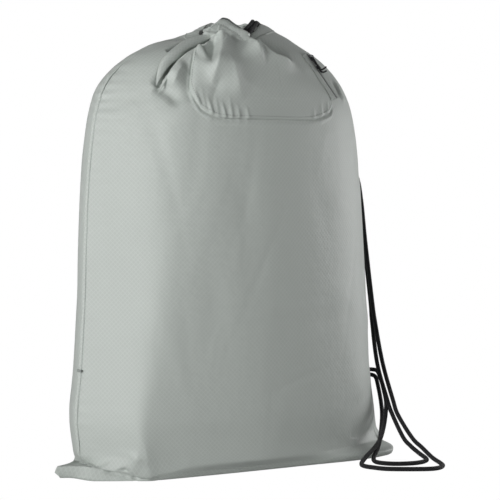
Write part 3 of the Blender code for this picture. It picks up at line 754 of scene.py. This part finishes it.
def hard_material(name, colour, lighter, roughness, metallic):
    """Moulded plastic or painted metal, with fine wear."""
    material, tree, shader = principled(name, colour, roughness, Metallic=metallic)
    fine, broad = cloudy(tree, 900.0), cloudy(tree, 120.0)
    toned = mixed(tree, ranged(tree, fine, 0, 0.5), colour, lighter)
    surface(shader, toned, broad, roughness - 0.1, roughness + 0.15, (fine, 0.00003))
    return material


def thread_material():
    """Twisted sewing thread, a little darker than the cloth."""
    material, tree, shader = principled("seam_thread", (0.3, 0.33, 0.31), 0.7)
    twist = slanted_lines(tree, 700.0)
    toned = mixed(tree, twist, (0.25, 0.27, 0.26), (0.36, 0.39, 0.37))
    surface(shader, toned, cloudy(tree, 600.0), 0.6, 0.8, (twist, 0.00008))
    return material


# ---------------- pieces


def finish_piece(obj, body, slot_name, *nodes):
    """Put a piece on its body and in the place of the nodes it stands for; the slot is not used."""
    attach(obj, body)
    if nodes:
        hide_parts(*nodes)
    return obj


def rope(name, points, diameter, material, sides=14):
    """A round cord as a mesh tube with closed, rounded ends."""
    points = np.asarray(points, float)
    way = unit(np.gradient(points, axis=0))
    side = unit(np.cross(way[0], (0.31, 0.57, 0.76)))
    angles = 2 * pi * np.arange(sides + 1) / sides
    rings, cloth = [], []
    for point, ahead, run in zip(points, way, run_along(points)):
        side = unit(side - ahead * side.dot(ahead))
        other = np.cross(ahead, side)
        ring = np.cos(angles)[:, None] * side + np.sin(angles)[:, None] * other
        rings.append(point + ring * diameter / 2)
        cloth.append(np.stack((angles * diameter / 2, 0 * angles + run), axis=1))

    def cap(end, out, shares):
        """Narrowing rings beyond one end, each a share of its ring and pushed outwards."""
        ring = rings[end] - points[end]
        return [points[end] + ring * share + out * diameter * push for share, push in shares]

    first = cap(0, -way[0], ((0.02, 0.5), (0.7, 0.35)))
    last = cap(-1, way[-1], ((0.7, 0.35), (0.014, 0.507)))
    cloth = [cloth[0], cloth[0], *cloth, cloth[-1], cloth[-1]]
    grid = np.array([*first, *rings, *last])
    return grid_piece(name, grid, np.array(cloth), material, turned=True)


def make_strands(material):
    """The two free strands of the shoulder cord."""
    for name, route in (("outer", OUTER_STRAND), ("inner", INNER_STRAND)):
        points = along_route(route, 420)
        strand = rope(f"{name}_strand", points, CORD, material)
        finish_piece(strand, "bag", "black_cord", f"shoulder_cord_{name}")


# ---------------- the cloth's folds


# fmt: off
# Folds: name, height, reach to the left and to the right of the line, shares of the line
# over which it starts and dies away, crispness, and the line itself.
# First those that the drawn cord gathers the front panel into.
MOUTH_FOLDS = (
    ("crevice", -0.014, 0.004, 0.0022, (0.15, 0), 2.0, (
        (-0.1102, -0.0357, 0.5094), (-0.0934, -0.0315, 0.5179), (-0.0755, -0.028, 0.5269),
        (-0.0624, -0.0306, 0.5343), (-0.0559, -0.0363, 0.5355),
    )),
    ("hem", 0.006, 0.0034, 0.009, (0.2, 0), 1.4, (
        (-0.1138, -0.0396, 0.5052), (-0.1109, -0.0427, 0.5043), (-0.1015, -0.0403, 0.5102),
        (-0.0805, -0.0341, 0.5206), (-0.0644, -0.0338, 0.5297), (-0.0547, -0.0383, 0.5331),
    )),
    ("gap", -0.023, 0.0075, 0.003, (0.08, 0.15), 2.0, (
        (-0.1389, -0.0559, 0.4685), (-0.1298, -0.0554, 0.4786), (-0.1191, -0.0538, 0.489),
        (-0.1053, -0.0502, 0.5006), (-0.0898, -0.0484, 0.5086), (-0.0759, -0.0485, 0.5132),
        (-0.0659, -0.0502, 0.5146),
    )),
    ("panel_edge", 0.009, 0.0026, 0.014, (0.3, 0.1), 1.3, (
        (-0.1328, -0.0578, 0.4719), (-0.1203, -0.0563, 0.485), (-0.1057, -0.053, 0.4978),
        (-0.0894, -0.0506, 0.5069), (-0.0743, -0.049, 0.5132),
    )),
    ("pit", -0.012, 0.0045, 0.0045, (0, 0), 2.0, (
        (-0.0628, -0.0413, 0.5218), (-0.0551, -0.0407, 0.5272),
    )),
    ("pocket_edge", 0.005, 0.0022, 0.01, (0.2, 0), 1.4, (
        (-0.0862, -0.0548, 0.5043), (-0.0755, -0.0531, 0.5094), (-0.0621, -0.0501, 0.5155),
        (-0.0463, -0.0466, 0.5215),
    )),
    ("hollow", -0.006, 0.007, 0.008, (0.2, 0.5), 2.0, (
        (-0.05, -0.048, 0.52), (-0.0664, -0.0661, 0.4987), (-0.073, -0.072, 0.488),
    )),
    ("left_crease", 0.0215, 0.02, 0.012, (0.35, 0.35), 1.05, (
        (-0.0417, -0.0422, 0.5464), (-0.0417, -0.0427, 0.5396), (-0.044, -0.0446, 0.526),
        (-0.0554, -0.0612, 0.5069), (-0.07, -0.0742, 0.486), (-0.078, -0.08, 0.465),
    )),
    ("recess", -0.007, 0.003, 0.007, (0.3, 0.25), 1.5, (
        (-0.05, -0.046, 0.523), (-0.061, -0.06, 0.5069), (-0.075, -0.0725, 0.487),
    )),
    ("soft_ridge", 0.0075, 0.011, 0.015, (0.3, 0.4), 1.2, (
        (-0.052, -0.066, 0.501), (-0.048, -0.078, 0.487), (-0.044, -0.087, 0.466),
        (-0.037, -0.0935, 0.449),
    )),
    ("low_crease", -0.0018, 0.007, 0.005, (0.3, 0.4), 1.5, (
        (-0.0609, -0.0777, 0.4818), (-0.0703, -0.0817, 0.4673), (-0.077, -0.0844, 0.4527),
        (-0.0787, -0.0868, 0.4408),
    )),
    ("shadow", -0.0055, 0.011, 0.007, (0.15, 0.4), 2.0, (
        (-0.137, -0.048, 0.469), (-0.1243, -0.06, 0.459), (-0.1187, -0.0665, 0.4514),
        (-0.1118, -0.0741, 0.4394),
    )),
    ("flank", 0.006, 0.007, 0.008, (0.3, 0.3), 1.3, (
        (-0.1197, -0.0616, 0.4638), (-0.111, -0.0595, 0.4804), (-0.098, -0.057, 0.4953),
    )),
    ("seam_side", -0.0075, 0.004, 0.012, (0.3, 0.3), 1.4, (
        (-0.0882, -0.0572, 0.5002), (-0.0985, -0.0661, 0.4804), (-0.1026, -0.0725, 0.4614),
        (-0.1025, -0.0775, 0.4448),
    )),
    ("ridge", 0.013, 0.0065, 0.015, (0.3, 0.3), 1.0, (
        (-0.0284, -0.0448, 0.5448), (-0.0179, -0.0472, 0.5358), (-0.0092, -0.0518, 0.5207),
        (-0.006, -0.0675, 0.5061), (0.0027, -0.0776, 0.4929),
    )),
    ("second", 0.0115, 0.0065, 0.015, (0.15, 0.4), 1.0, (
        (-0.0052, -0.0523, 0.5205), (0.0059, -0.0624, 0.5118), (0.0161, -0.068, 0.5052),
        (0.0298, -0.0701, 0.5016), (0.0459, -0.0695, 0.4997), (0.0591, -0.0644, 0.5025),
    )),
    ("valley", -0.015, 0.012, 0.008, (0, 0.4), 2.0, (
        (0.0084, -0.0469, 0.5261), (0.0205, -0.0542, 0.5187), (0.0365, -0.0605, 0.5118),
        (0.0548, -0.0609, 0.5078),
    )),
)
# The fold behind the zip, where the right seam is drawn up, and its crest beside it.
RIGHT_FOLDS = (
    ("crease", -0.0018, 0.0034, 0.003, (0.3, 0.3), 2.0, (
        (0.1256, -0.0483, 0.485), (0.1325, -0.0517, 0.4753), (0.1337, -0.0582, 0.4638),
        (0.1418, -0.0562, 0.4577),
    )),
)
CREST_SHIFT = (0.006, 0.002, 0.001)
# The boxed corner at the left, the pleats over its flap, and a crease at the right.
BASE_FOLDS = (
    ("corner", 0.003, 0.008, 0.012, (0.1, 0.6), 1.4, (
        (-0.1467, -0.0548, 0.0009), (-0.156, -0.064, 0.013), (-0.16, -0.0675, 0.0229),
        (-0.164, -0.0695, 0.0405), (-0.169, -0.068, 0.056), (-0.172, -0.066, 0.08),
    )),
    ("band", 0.004, 0.006, 0.005, (0.2, 0.2), 2.0, (
        (-0.2026, -0.0335, 0.03), (-0.1825, -0.0563, 0.03), (-0.1641, -0.0675, 0.0251),
    )),
    ("pleat", -0.005, 0.002, 0.0035, (0.3, 0.2), 2.0, (
        (-0.1912, -0.0448, 0.0161), (-0.1837, -0.0489, 0.0151), (-0.1741, -0.0506, 0.0115),
        (-0.1602, -0.0517, 0.0029),
    )),
    ("low_pleat", -0.0035, 0.0015, 0.0025, (0.3, 0.3), 2.0, (
        (-0.1923, -0.0405, 0.0109), (-0.1815, -0.0443, 0.0085), (-0.1702, -0.0483, 0.0052),
    )),
    ("flap", -0.004, 0.0018, 0.0026, (0.05, 0.3), 2.0, (
        (-0.204, -0.004, 0.016), (-0.201, -0.016, 0.015), (-0.194, -0.03, 0.0125),
        (-0.184, -0.042, 0.0095), (-0.172, -0.05, 0.0065),
    )),
    ("sweep", 0.003, 0.009, 0.012, (0.4, 0.3), 2.0, (
        (0.112, -0.099, 0.047), (0.122, -0.098, 0.036), (0.138, -0.094, 0.028),
        (0.16, -0.085, 0.026),
    )),
)
# The tops of the pinches at the right of the base, and the steps down each.
PINCHES = ((0.204, -0.048, 0.054), (0.21, -0.05, 0.04), (0.199, -0.054, 0.034))
PINCH_STEPS = ((0, 0), (0.0025, -0.01), (0.0065, -0.02))
# fmt: on


def work_front(sheet):
    """Work all the named folds and the pinches into the front panel."""
    for _, height, left, right, ends, crisp, line in (*MOUTH_FOLDS, *RIGHT_FOLDS):
        fold(sheet, line, height, left, right, ends, crisp)
    crest = np.array(RIGHT_FOLDS[0][-1]) + CREST_SHIFT
    fold(sheet, crest, 0.0022, 0.007, 0.005, ends=(0.3, 0.2), crisp=1.8)
    for _, height, left, right, ends, crisp, line in BASE_FOLDS:
        fold(sheet, line, height, left, right, ends, crisp)
    for x, y, top in PINCHES:
        pinch = [(x + aside, y, top + down) for aside, down in PINCH_STEPS]
        fold(sheet, pinch, -0.0035, 0.0022, 0.003)


def gather(sheet, count, seed):
    """Small pleats that run out from the drawn mouth and die away down the shoulders."""
    rng = np.random.default_rng(seed)
    columns = sheet.points.shape[1]
    share = np.linspace(0, 1, columns)
    wave = np.zeros(columns)
    for k in range(count):
        centre = (k + 0.5 + 0.3 * rng.uniform(-1, 1)) / count
        width = 0.35 / count * rng.uniform(0.7, 1.3)
        wave += rng.uniform(0.5, 1.0) * np.exp(-(((share - centre) / width) ** 2))
    deep = ease((sheet.stations - 0.5) / 0.12)[:, None]
    ends = ease(share / 0.04) * ease((1 - share) / 0.04)
    lift = (wave - wave.mean()) * ends * deep
    sheet.points += lift[:, :, None] * PLEAT_LIFT * sheet.normal


def soften(sheet, seed):
    """Broad, shallow waves all over, as thin cloth has over soft contents."""
    rng = np.random.default_rng(seed)
    height = sheet.rest[:, :, 2]
    across = sheet.rest[:, :, 0]
    lift = np.zeros_like(height)
    for _ in range(WAVES):
        x, z = rng.uniform(-0.2, 0.2), rng.uniform(0.03, 0.5)
        turn = rng.uniform(-0.5, 0.5) + (pi / 2 if rng.uniform() < 0.6 else 0.0)
        long, short = rng.uniform(0.02, 0.09), rng.uniform(0.005, 0.02)
        u = (across - x) * cos(turn) + (height - z) * sin(turn)
        v = -(across - x) * sin(turn) + (height - z) * cos(turn)
        lift += rng.uniform(-1, 1) * np.exp(-((u / long) ** 2) - (v / short) ** 2)
    clear = ease(height / 0.02)
    sheet.points += (lift * WAVE_LIFT * clear)[:, :, None] * sheet.normal


def lie(sheet, pairs):
    """Places on the unworked sheet, from pairs of station and across."""
    worked, sheet.points = sheet.points, sheet.rest
    found, _ = sheet.at(*np.transpose(pairs))
    sheet.points = worked
    return found.tolist()


def tuck_seams(sheet):
    """Pull the last of the cloth into the side seams, with small puckers beside them."""
    for end in (0, -1):
        away = np.linalg.norm(sheet.rest - sheet.rest[:, end][:, None], axis=2)
        inward = -1.0 if end else 1.0
        upper = ease((sheet.stations - 0.02) / 0.03)[:, None]
        sheet.points[:, :, 0] += inward * SEAM_TUCK * np.exp(-((away / 0.0016) ** 2)) * upper
        height = sheet.rest[:, :, 2]
        pucker = np.sin(height * 2 * pi / 0.013 + 2 * np.sin(height * 41))
        lift = 0.0007 * pucker * np.exp(-away / 0.01) * (1 - np.exp(-away / 0.002)) * upper
        sheet.points += lift[:, :, None] * sheet.normal


def work_pocket_seam(sheet):
    """A sunk line with a welt outside it along the pocket's seam, and its puckers."""
    seam = lie(sheet, POCKET_SEAM)
    fold(sheet, seam, -0.0016, 0.0013, 0.0013, ends=(0.03, 0.03))
    outside = lie(sheet, [(station - 0.0045, across * 1.012) for station, across in POCKET_SEAM])
    fold(sheet, outside, 0.0009, 0.0014, 0.0014, ends=(0.05, 0.05))
    for across, lean, tall in POCKET_PUCKERS:
        low = np.interp(across, *POCKET_BOTTOM) + 0.002
        steps = [(low + tall * part, across + lean * part) for part in (0, 0.5, 1)]
        pinch = lie(sheet, steps)
        height = 0.0007 + 0.0012 * abs(sin(41 * across))
        fold(sheet, pinch, height, 0.0026, 0.0018, ends=(0, 0.8), crisp=1.5)


def make_pocket(sheet, material):
    """The pocket's cloth: rows up the sheet between its left and right outlines."""
    low = min(POCKET_LEFT[0])
    stations = low + (HEM_AT - low) * np.linspace(0, 1, 150)[:, None] ** 1.4
    left, right = (np.interp(stations, *outline) for outline in (POCKET_LEFT, POCKET_RIGHT))
    share = 0.5 - 0.5 * np.cos(pi * np.linspace(0, 1, 260))
    across = left + (right - left) * share
    margin = np.minimum(share, 1 - share) * (right - left) * 0.18
    margin = np.minimum(margin, (stations - low) * 0.6 + 0.0004)
    lift = PATCH_LIFT * (0.35 + 0.65 * ease(margin / 0.0014))
    points, _ = sheet.at(stations, across, lift)
    piece = grid_piece("pocket_patch", points, flat_cloth(points), material)
    thicken(piece, 0.0005)
    return finish_piece(piece, "bag", "ripstop", "pocket_panel")


def stitches(name, sheet, pairs, material, lift):
    """A run of thread stitches on the sheet along pairs of station and across."""
    pairs = np.array(pairs, float)
    dense = np.linspace(0, len(pairs) - 1, 40 * len(pairs))
    order = np.arange(len(pairs))
    station, across = (np.interp(dense, order, pairs[:, k]) for k in (0, 1))
    line, normal = sheet.at(station, across, lift)
    run = run_along(line)
    pitch, long, thick = STITCH
    count = max(2, int(run[-1] / pitch))
    rings, sides = len(STITCH_SHAPE), 6
    points, faces = [], []
    for k in range(count):
        at = (k + 0.5) * run[-1] / count
        here, ahead, up = (
            np.array([np.interp(at + step, run, grid[:, axis]) for axis in range(3)])
            for step, grid in ((0, line), (0.0006, line), (0, normal))
        )
        way = unit(ahead - here)
        up = unit(up - way * up.dot(way))
        beside = np.cross(up, way)
        first = len(points)
        for along, full, rise in STITCH_SHAPE:
            for n in range(sides):
                turn = 2 * pi * n / sides
                ring = full * thick * (1.5 * cos(turn) * beside + sin(turn) * up)
                points.append(here + way * along * long + up * rise * thick + ring)
        for ring in range(first, first + (rings - 1) * sides, sides):
            for n in range(sides):
                a, b = ring + n, ring + (n + 1) % sides
                faces.append((a, a + sides, b + sides, b))
        faces.append(tuple(range(first, first + sides)))
        faces.append(tuple(reversed(range(first + (rings - 1) * sides, first + rings * sides))))
    mesh = bpy.data.meshes.new(name)
    mesh.from_pydata([tuple(p) for p in points], [], faces)
    mesh.shade_smooth()
    return finish_piece(add_object(name, mesh, material), "bag", "seam_thread")


def make_hem(sheet, name, material, node, channel):
    """The folded hem at the mouth: flat outside, with the cord's channel inside it."""
    share = np.linspace(0, 1, 16)
    stations = HEM_AT + (RIM_AT - HEM_AT) * share
    bow = np.sin(pi * share)[:, None]
    outer, _ = sheet.at(stations[:, None], sheet.across, 0.0003 + 0.0005 * bow)
    room = np.interp(sheet.across, *channel)
    inner, _ = sheet.at(stations[:, None], sheet.across, -(CLOTH + 0.0006 + room * bow**0.7))
    crown = (outer[-1] + inner[-1]) / 2
    crown[:, 2] += 0.0012
    points = np.vstack((outer, crown[None], inner[::-1]))
    cloth = np.stack(np.meshgrid(run_along(points[8]), rise_up(points)), axis=2)
    piece = grid_piece(name, points, cloth, material, sheet.side > 0)
    thicken(piece, 0.0004)
    return finish_piece(piece, "bag", "ripstop", node)


def make_drawcord(front, back, material):
    """The cord round the mouth: bare along the front's right, inside the hem elsewhere."""
    middle = (HEM_AT + RIM_AT) / 2
    bare = np.linspace(0.88, -0.28, 9)
    rim, _ = front.at(RIM_AT, bare)
    rim = rim + np.array((-0.002, 0.003, 0.0032))
    hidden_front, _ = front.at(middle, np.linspace(-0.45, -0.93, 6), -DRAWCORD_DEEP)
    hidden_back, _ = back.at(middle, np.linspace(-0.9, 0.62, 12), -DRAWCORD_DEEP)
    route = [OUTER_STRAND[0], *rim, *hidden_front, *hidden_back, INNER_STRAND[0]]
    cord = rope("drawcord", along_route(route, 260), CORD, material)
    finish_piece(cord, "bag", "black_cord", "drawcord_in_mouth")
    lower, _ = front.at(RIM_AT, np.linspace(0.8, -0.24, 8))
    lower = lower + np.array((-0.0052, 0.0062, 0.0062))
    strand = rope("drawcord_overlap", along_route(lower, 90), CORD, material)
    finish_piece(strand, "bag", "black_cord")


def make_gather(name, spine, radii, material):
    """A rounded fold of the gathered cloth, fullest in the middle and lost at both ends."""
    route = along_route(spine, 90)
    share = np.linspace(0, 1, len(route))
    radius = smooth(np.linspace(0, 1, len(radii)), np.array(radii), share)[:, None]
    way = unit(np.gradient(route, axis=0))
    side = unit(np.cross(way, GATHER_OUT))
    up = np.cross(side, way)
    angles = 2 * pi * np.arange(29)[None] / 28
    wrinkle = 1 + 0.07 * np.sin(3 * angles + 9 * share[:, None])
    wide, tall = (radius * wrinkle * turn for turn in (np.cos(angles), 0.85 * np.sin(angles)))
    points = route[:, None] + wide[:, :, None] * side[:, None] + tall[:, :, None] * up[:, None]
    run = run_along(route)[:, None]
    cloth = np.stack((angles * radius.max() + 0 * radius, run + 0 * angles), axis=2)
    piece = grid_piece(name, points, cloth, material, turned=True)
    return finish_piece(piece, "bag", "ripstop")


def make_peak_shade_tube(sheet, material):
    """A dark tube along the top of the front's peak, painted shade for the shadowed inside of the
    hem.
    """
    share = np.linspace(*PEAK_SHADE_SHARE, 26)
    rim, _ = sheet.at(RIM_AT, -np.cos(pi * share), -CLOTH / 2)
    rim[:, 2] += 0.0008
    edge = rope("peak_painted_shade_tube", along_route(rim, 80), PEAK_SHADE_THICK, material)
    return finish_piece(edge, "bag", "binding_tape")


def zip_points(across, down, lift):
    """Points given across, down and out from the top of the zip."""
    return ZIP_TOP + across * ZIP_ACROSS - down * ZIP_UP + lift * ZIP_OUT


def fabric_lift(sheet, across, down):
    """How far the worked sheet stands out from the zip's line, at places beside it."""
    flat = sheet.points.reshape(-1, 3) - ZIP_TOP
    near = (np.abs(flat @ ZIP_UP + ZIP_LENGTH / 2) < 0.05) & (np.abs(flat @ ZIP_ACROSS) < 0.03)
    flat = flat[near]
    x, y, z = flat @ ZIP_ACROSS, -(flat @ ZIP_UP), flat @ ZIP_OUT
    found = np.empty_like(across)
    for index in np.ndindex(across.shape):
        gap = (x - across[index]) ** 2 + (y - down[index]) ** 2
        best = np.argsort(gap)[:4]
        weight = 1 / (gap[best] + 1e-9)
        found[index] = (z[best] * weight).sum() / weight.sum()
    return found


def make_zip_tape(sheet, side, sign, material):
    """One tape of the zip, from a rolled lip beside the teeth out to the sheet."""
    down = np.linspace(-0.0005, ZIP_LENGTH + 0.0005, 60)[:, None]
    share = np.linspace(0, 1, 16)
    across = sign * (TAPE_FROM + TAPE_WIDTH * share) + 0 * down
    base = fabric_lift(sheet, across, down + 0 * across)
    fall = ease((share - 0.45) / 0.5)
    height = np.maximum(TAPE_LIP * (1 - fall) + (base + 0.0011) * fall, base + TAPE_CLEAR)
    height = height - TAPE_ROLL * np.exp(-((share / 0.08) ** 2))
    points = zip_points(across[..., None], down[..., None], height[..., None])
    cloth = np.stack(np.broadcast_arrays(TAPE_WIDTH * share, down), axis=2)
    piece = grid_piece(f"zip_tape_{side}_woven", points, cloth, material, turned=sign < 0)
    thicken(piece, 0.0006)
    finish_piece(piece, "bag", "zip_tape_cloth", f"zip_tape_{side}")


def make_zip_coil(side, sign, material):
    """One row of the zip's teeth: a flattened coil of plastic wire."""
    long = ZIP_LENGTH - 2 * COIL_MARGIN
    turns = int(long / COIL_PITCH)
    angle = np.linspace(0, 2 * pi * turns, turns * 12)[:, None]
    across = sign * COIL_AT[0] + COIL_SIZE[0] * np.cos(angle)
    down = COIL_MARGIN + long * np.linspace(0, 1, len(angle))[:, None]
    points = zip_points(across, down, COIL_AT[1] + COIL_SIZE[1] * np.sin(angle))
    coil = rope(f"zip_coil_{side}_turns", points, COIL_WIRE, material, sides=6)
    finish_piece(coil, "bag", "zip_coil_plastic", f"zip_coil_{side}")


def make_slider(material):
    """The slider's upper plate, with softened edges."""
    outline = [(0.0, 0.0043), *SLIDER_HALF, *((-x, y) for x, y in SLIDER_HALF[::-1])]
    edit = bmesh.new()
    low, high = (
        [edit.verts.new(zip_points(x, SLIDER_DOWN - y, lift)) for x, y in outline]
        for lift in (SLIDER_TOP - SLIDER_PLATE, SLIDER_TOP)
    )
    edit.faces.new(low)
    edit.faces.new(high[::-1])
    for k in range(len(outline)):
        edit.faces.new((low[k - 1], high[k - 1], high[k], low[k]))
    bmesh.ops.recalc_face_normals(edit, faces=edit.faces)
    mesh = bpy.data.meshes.new("zip_slider_body")
    edit.to_mesh(mesh)
    edit.free()
    slider = add_object("zip_slider_body", mesh, material)
    bevel = slider.modifiers.new("Edge", "BEVEL")
    bevel.width, bevel.segments = 0.00035, 3
    finish_piece(slider, "slider", "zip_metal", "zip_slider")


def make_pull(cord):
    """The pull's loop, knot and two cut tails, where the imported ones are."""

    def hung(points, down=0.0):
        return [
            PIVOT + x * ZIP_ACROSS - (down + y) * ZIP_UP + lift * ZIP_OUT for x, y, lift in points
        ]

    leg = [(0.0012, LOOP_LENGTH, 0), (0.0024, 0.006, 0), (0.0024, 0.0015, 0), (0.0015, 0, 0)]
    loop = along_route(hung(leg + [(-x, y, lift) for x, y, lift in leg[::-1]]), 60)
    loop = rope("pull_loop", loop, LOOP_CORD, cord)
    finish_piece(loop, "pull", "black_cord", "pull_cord_loop")
    tails = LOOP_LENGTH + 0.0008 + KNOT_SIZE[1]
    for name, route in PULL_TAILS.items():
        tail = rope(f"pull_tail_{name}", along_route(hung(route, tails), 40), PULL_CORD, cord)
        finish_piece(tail, "pull", "black_cord", f"pull_cord_{name}_tail")
    wide, tall, deep = (size - PULL_CORD for size in KNOT_SIZE)
    turns = [
        (wide / 2 * cos(angle), tall * (angle / KNOT_TURNS - 0.5), deep / 2 * sin(angle))
        for angle in np.linspace(0, KNOT_TURNS, 70)
    ]
    middle = LOOP_LENGTH + 0.0004 + KNOT_SIZE[1] / 2
    knot = rope("pull_knot", hung(turns, middle), PULL_CORD, cord)
    finish_piece(knot, "pull", "black_cord", "pull_cord_knot")


def dress(node, material):
    """Give a carried-over CAD node its finished material."""
    slots = NODES[node].material_slots
    for slot in slots:
        slot.material = material
    if not slots:
        NODES[node].data.materials.append(material)


# ---------------- the bag, piece by piece


make_camera()
make_light()
make_floor()
RIPSTOP = ripstop_material()
BLACK_CORD = cord_material()
make_strands(BLACK_CORD)
BINDING = plain_tape_material("binding_tape", (0.36, 0.39, 0.37), (0.46, 0.49, 0.47))
# A dark twill for the tube on the peak's rim: painted shade for the shadowed inside of the hem.
PEAK_SHADE_TWILL = twill_material("painted_peak_shade", (0.085, 0.095, 0.09), (0.14, 0.15, 0.145), 0.0008)
ZIP_TAPE = twill_material("zip_tape_cloth", (0.42, 0.455, 0.43), (0.5, 0.53, 0.505), 0.0008)
COIL = hard_material("zip_coil_plastic", (0.03, 0.031, 0.032), (0.06, 0.06, 0.06), 0.4, 0.0)
METAL = hard_material("zip_metal", (0.05, 0.05, 0.055), (0.16, 0.16, 0.17), 0.35, 0.6)
THREAD = thread_material()
front = Sheet(-1, 440, 1.0)
back = Sheet(1, 300, 1.6)
work_front(front)
work_pocket_seam(front)
gather(back, 11, 5)
for sheet, seed in ((front, 3), (back, 4)):
    soften(sheet, seed)
    tuck_seams(sheet)
    sheet.measure()
for sheet, name, channel in ((front, "front", FRONT_CHANNEL), (back, "back", BACK_CHANNEL)):
    cloth = flat_cloth(sheet.rest)
    piece = grid_piece(f"{name}_cloth", sheet.points, cloth, RIPSTOP, turned=sheet is back)
    thicken(piece, CLOTH)
    finish_piece(piece, "bag", "ripstop", f"{name}_panel")
    hem = make_hem(sheet, f"{name}_hem", RIPSTOP, f"{name}_drawcord_tunnel", channel)
    gathers = []
    if sheet is front:
        gathers = [
            make_gather("upper_gather", UPPER_GATHER, UPPER_GATHER_RADII, RIPSTOP),
            make_gather("lower_gather", LOWER_GATHER, LOWER_GATHER_RADII, RIPSTOP),
        ]
patch = make_pocket(front, RIPSTOP)
# The dark tube on the peak's rim: painted shade, not a binding.
make_peak_shade_tube(front, PEAK_SHADE_TWILL)
make_drawcord(front, back, BLACK_CORD)
for side, sign in (("left", -1), ("right", 1)):
    make_zip_tape(front, side, sign, ZIP_TAPE)
    make_zip_coil(side, sign, COIL)
make_slider(METAL)
make_pull(BLACK_CORD)
INSIDE = [(station + 0.004, across * 0.985) for station, across in POCKET_SEAM]
stitches("pocket_stitching", front, INSIDE, THREAD, PATCH_LIFT + 0.0002)
for sheet, name in ((front, "front"), (back, "back")):
    rim = [(HEM_AT + 0.002, across) for across in np.linspace(-0.98, 0.98, 60)]
    stitches(f"{name}_hem_stitching", sheet, rim, THREAD, 0.0008)
for node in ("left_seam_binding", "right_seam_binding", "bottom_seam_binding", "cord_anchor_tab"):
    dress(node, BINDING)
for node in ("zip_top_stop", "zip_bottom_stop", "slider_bail"):
    dress(node, METAL)
dress("bar_tack_left", THREAD)
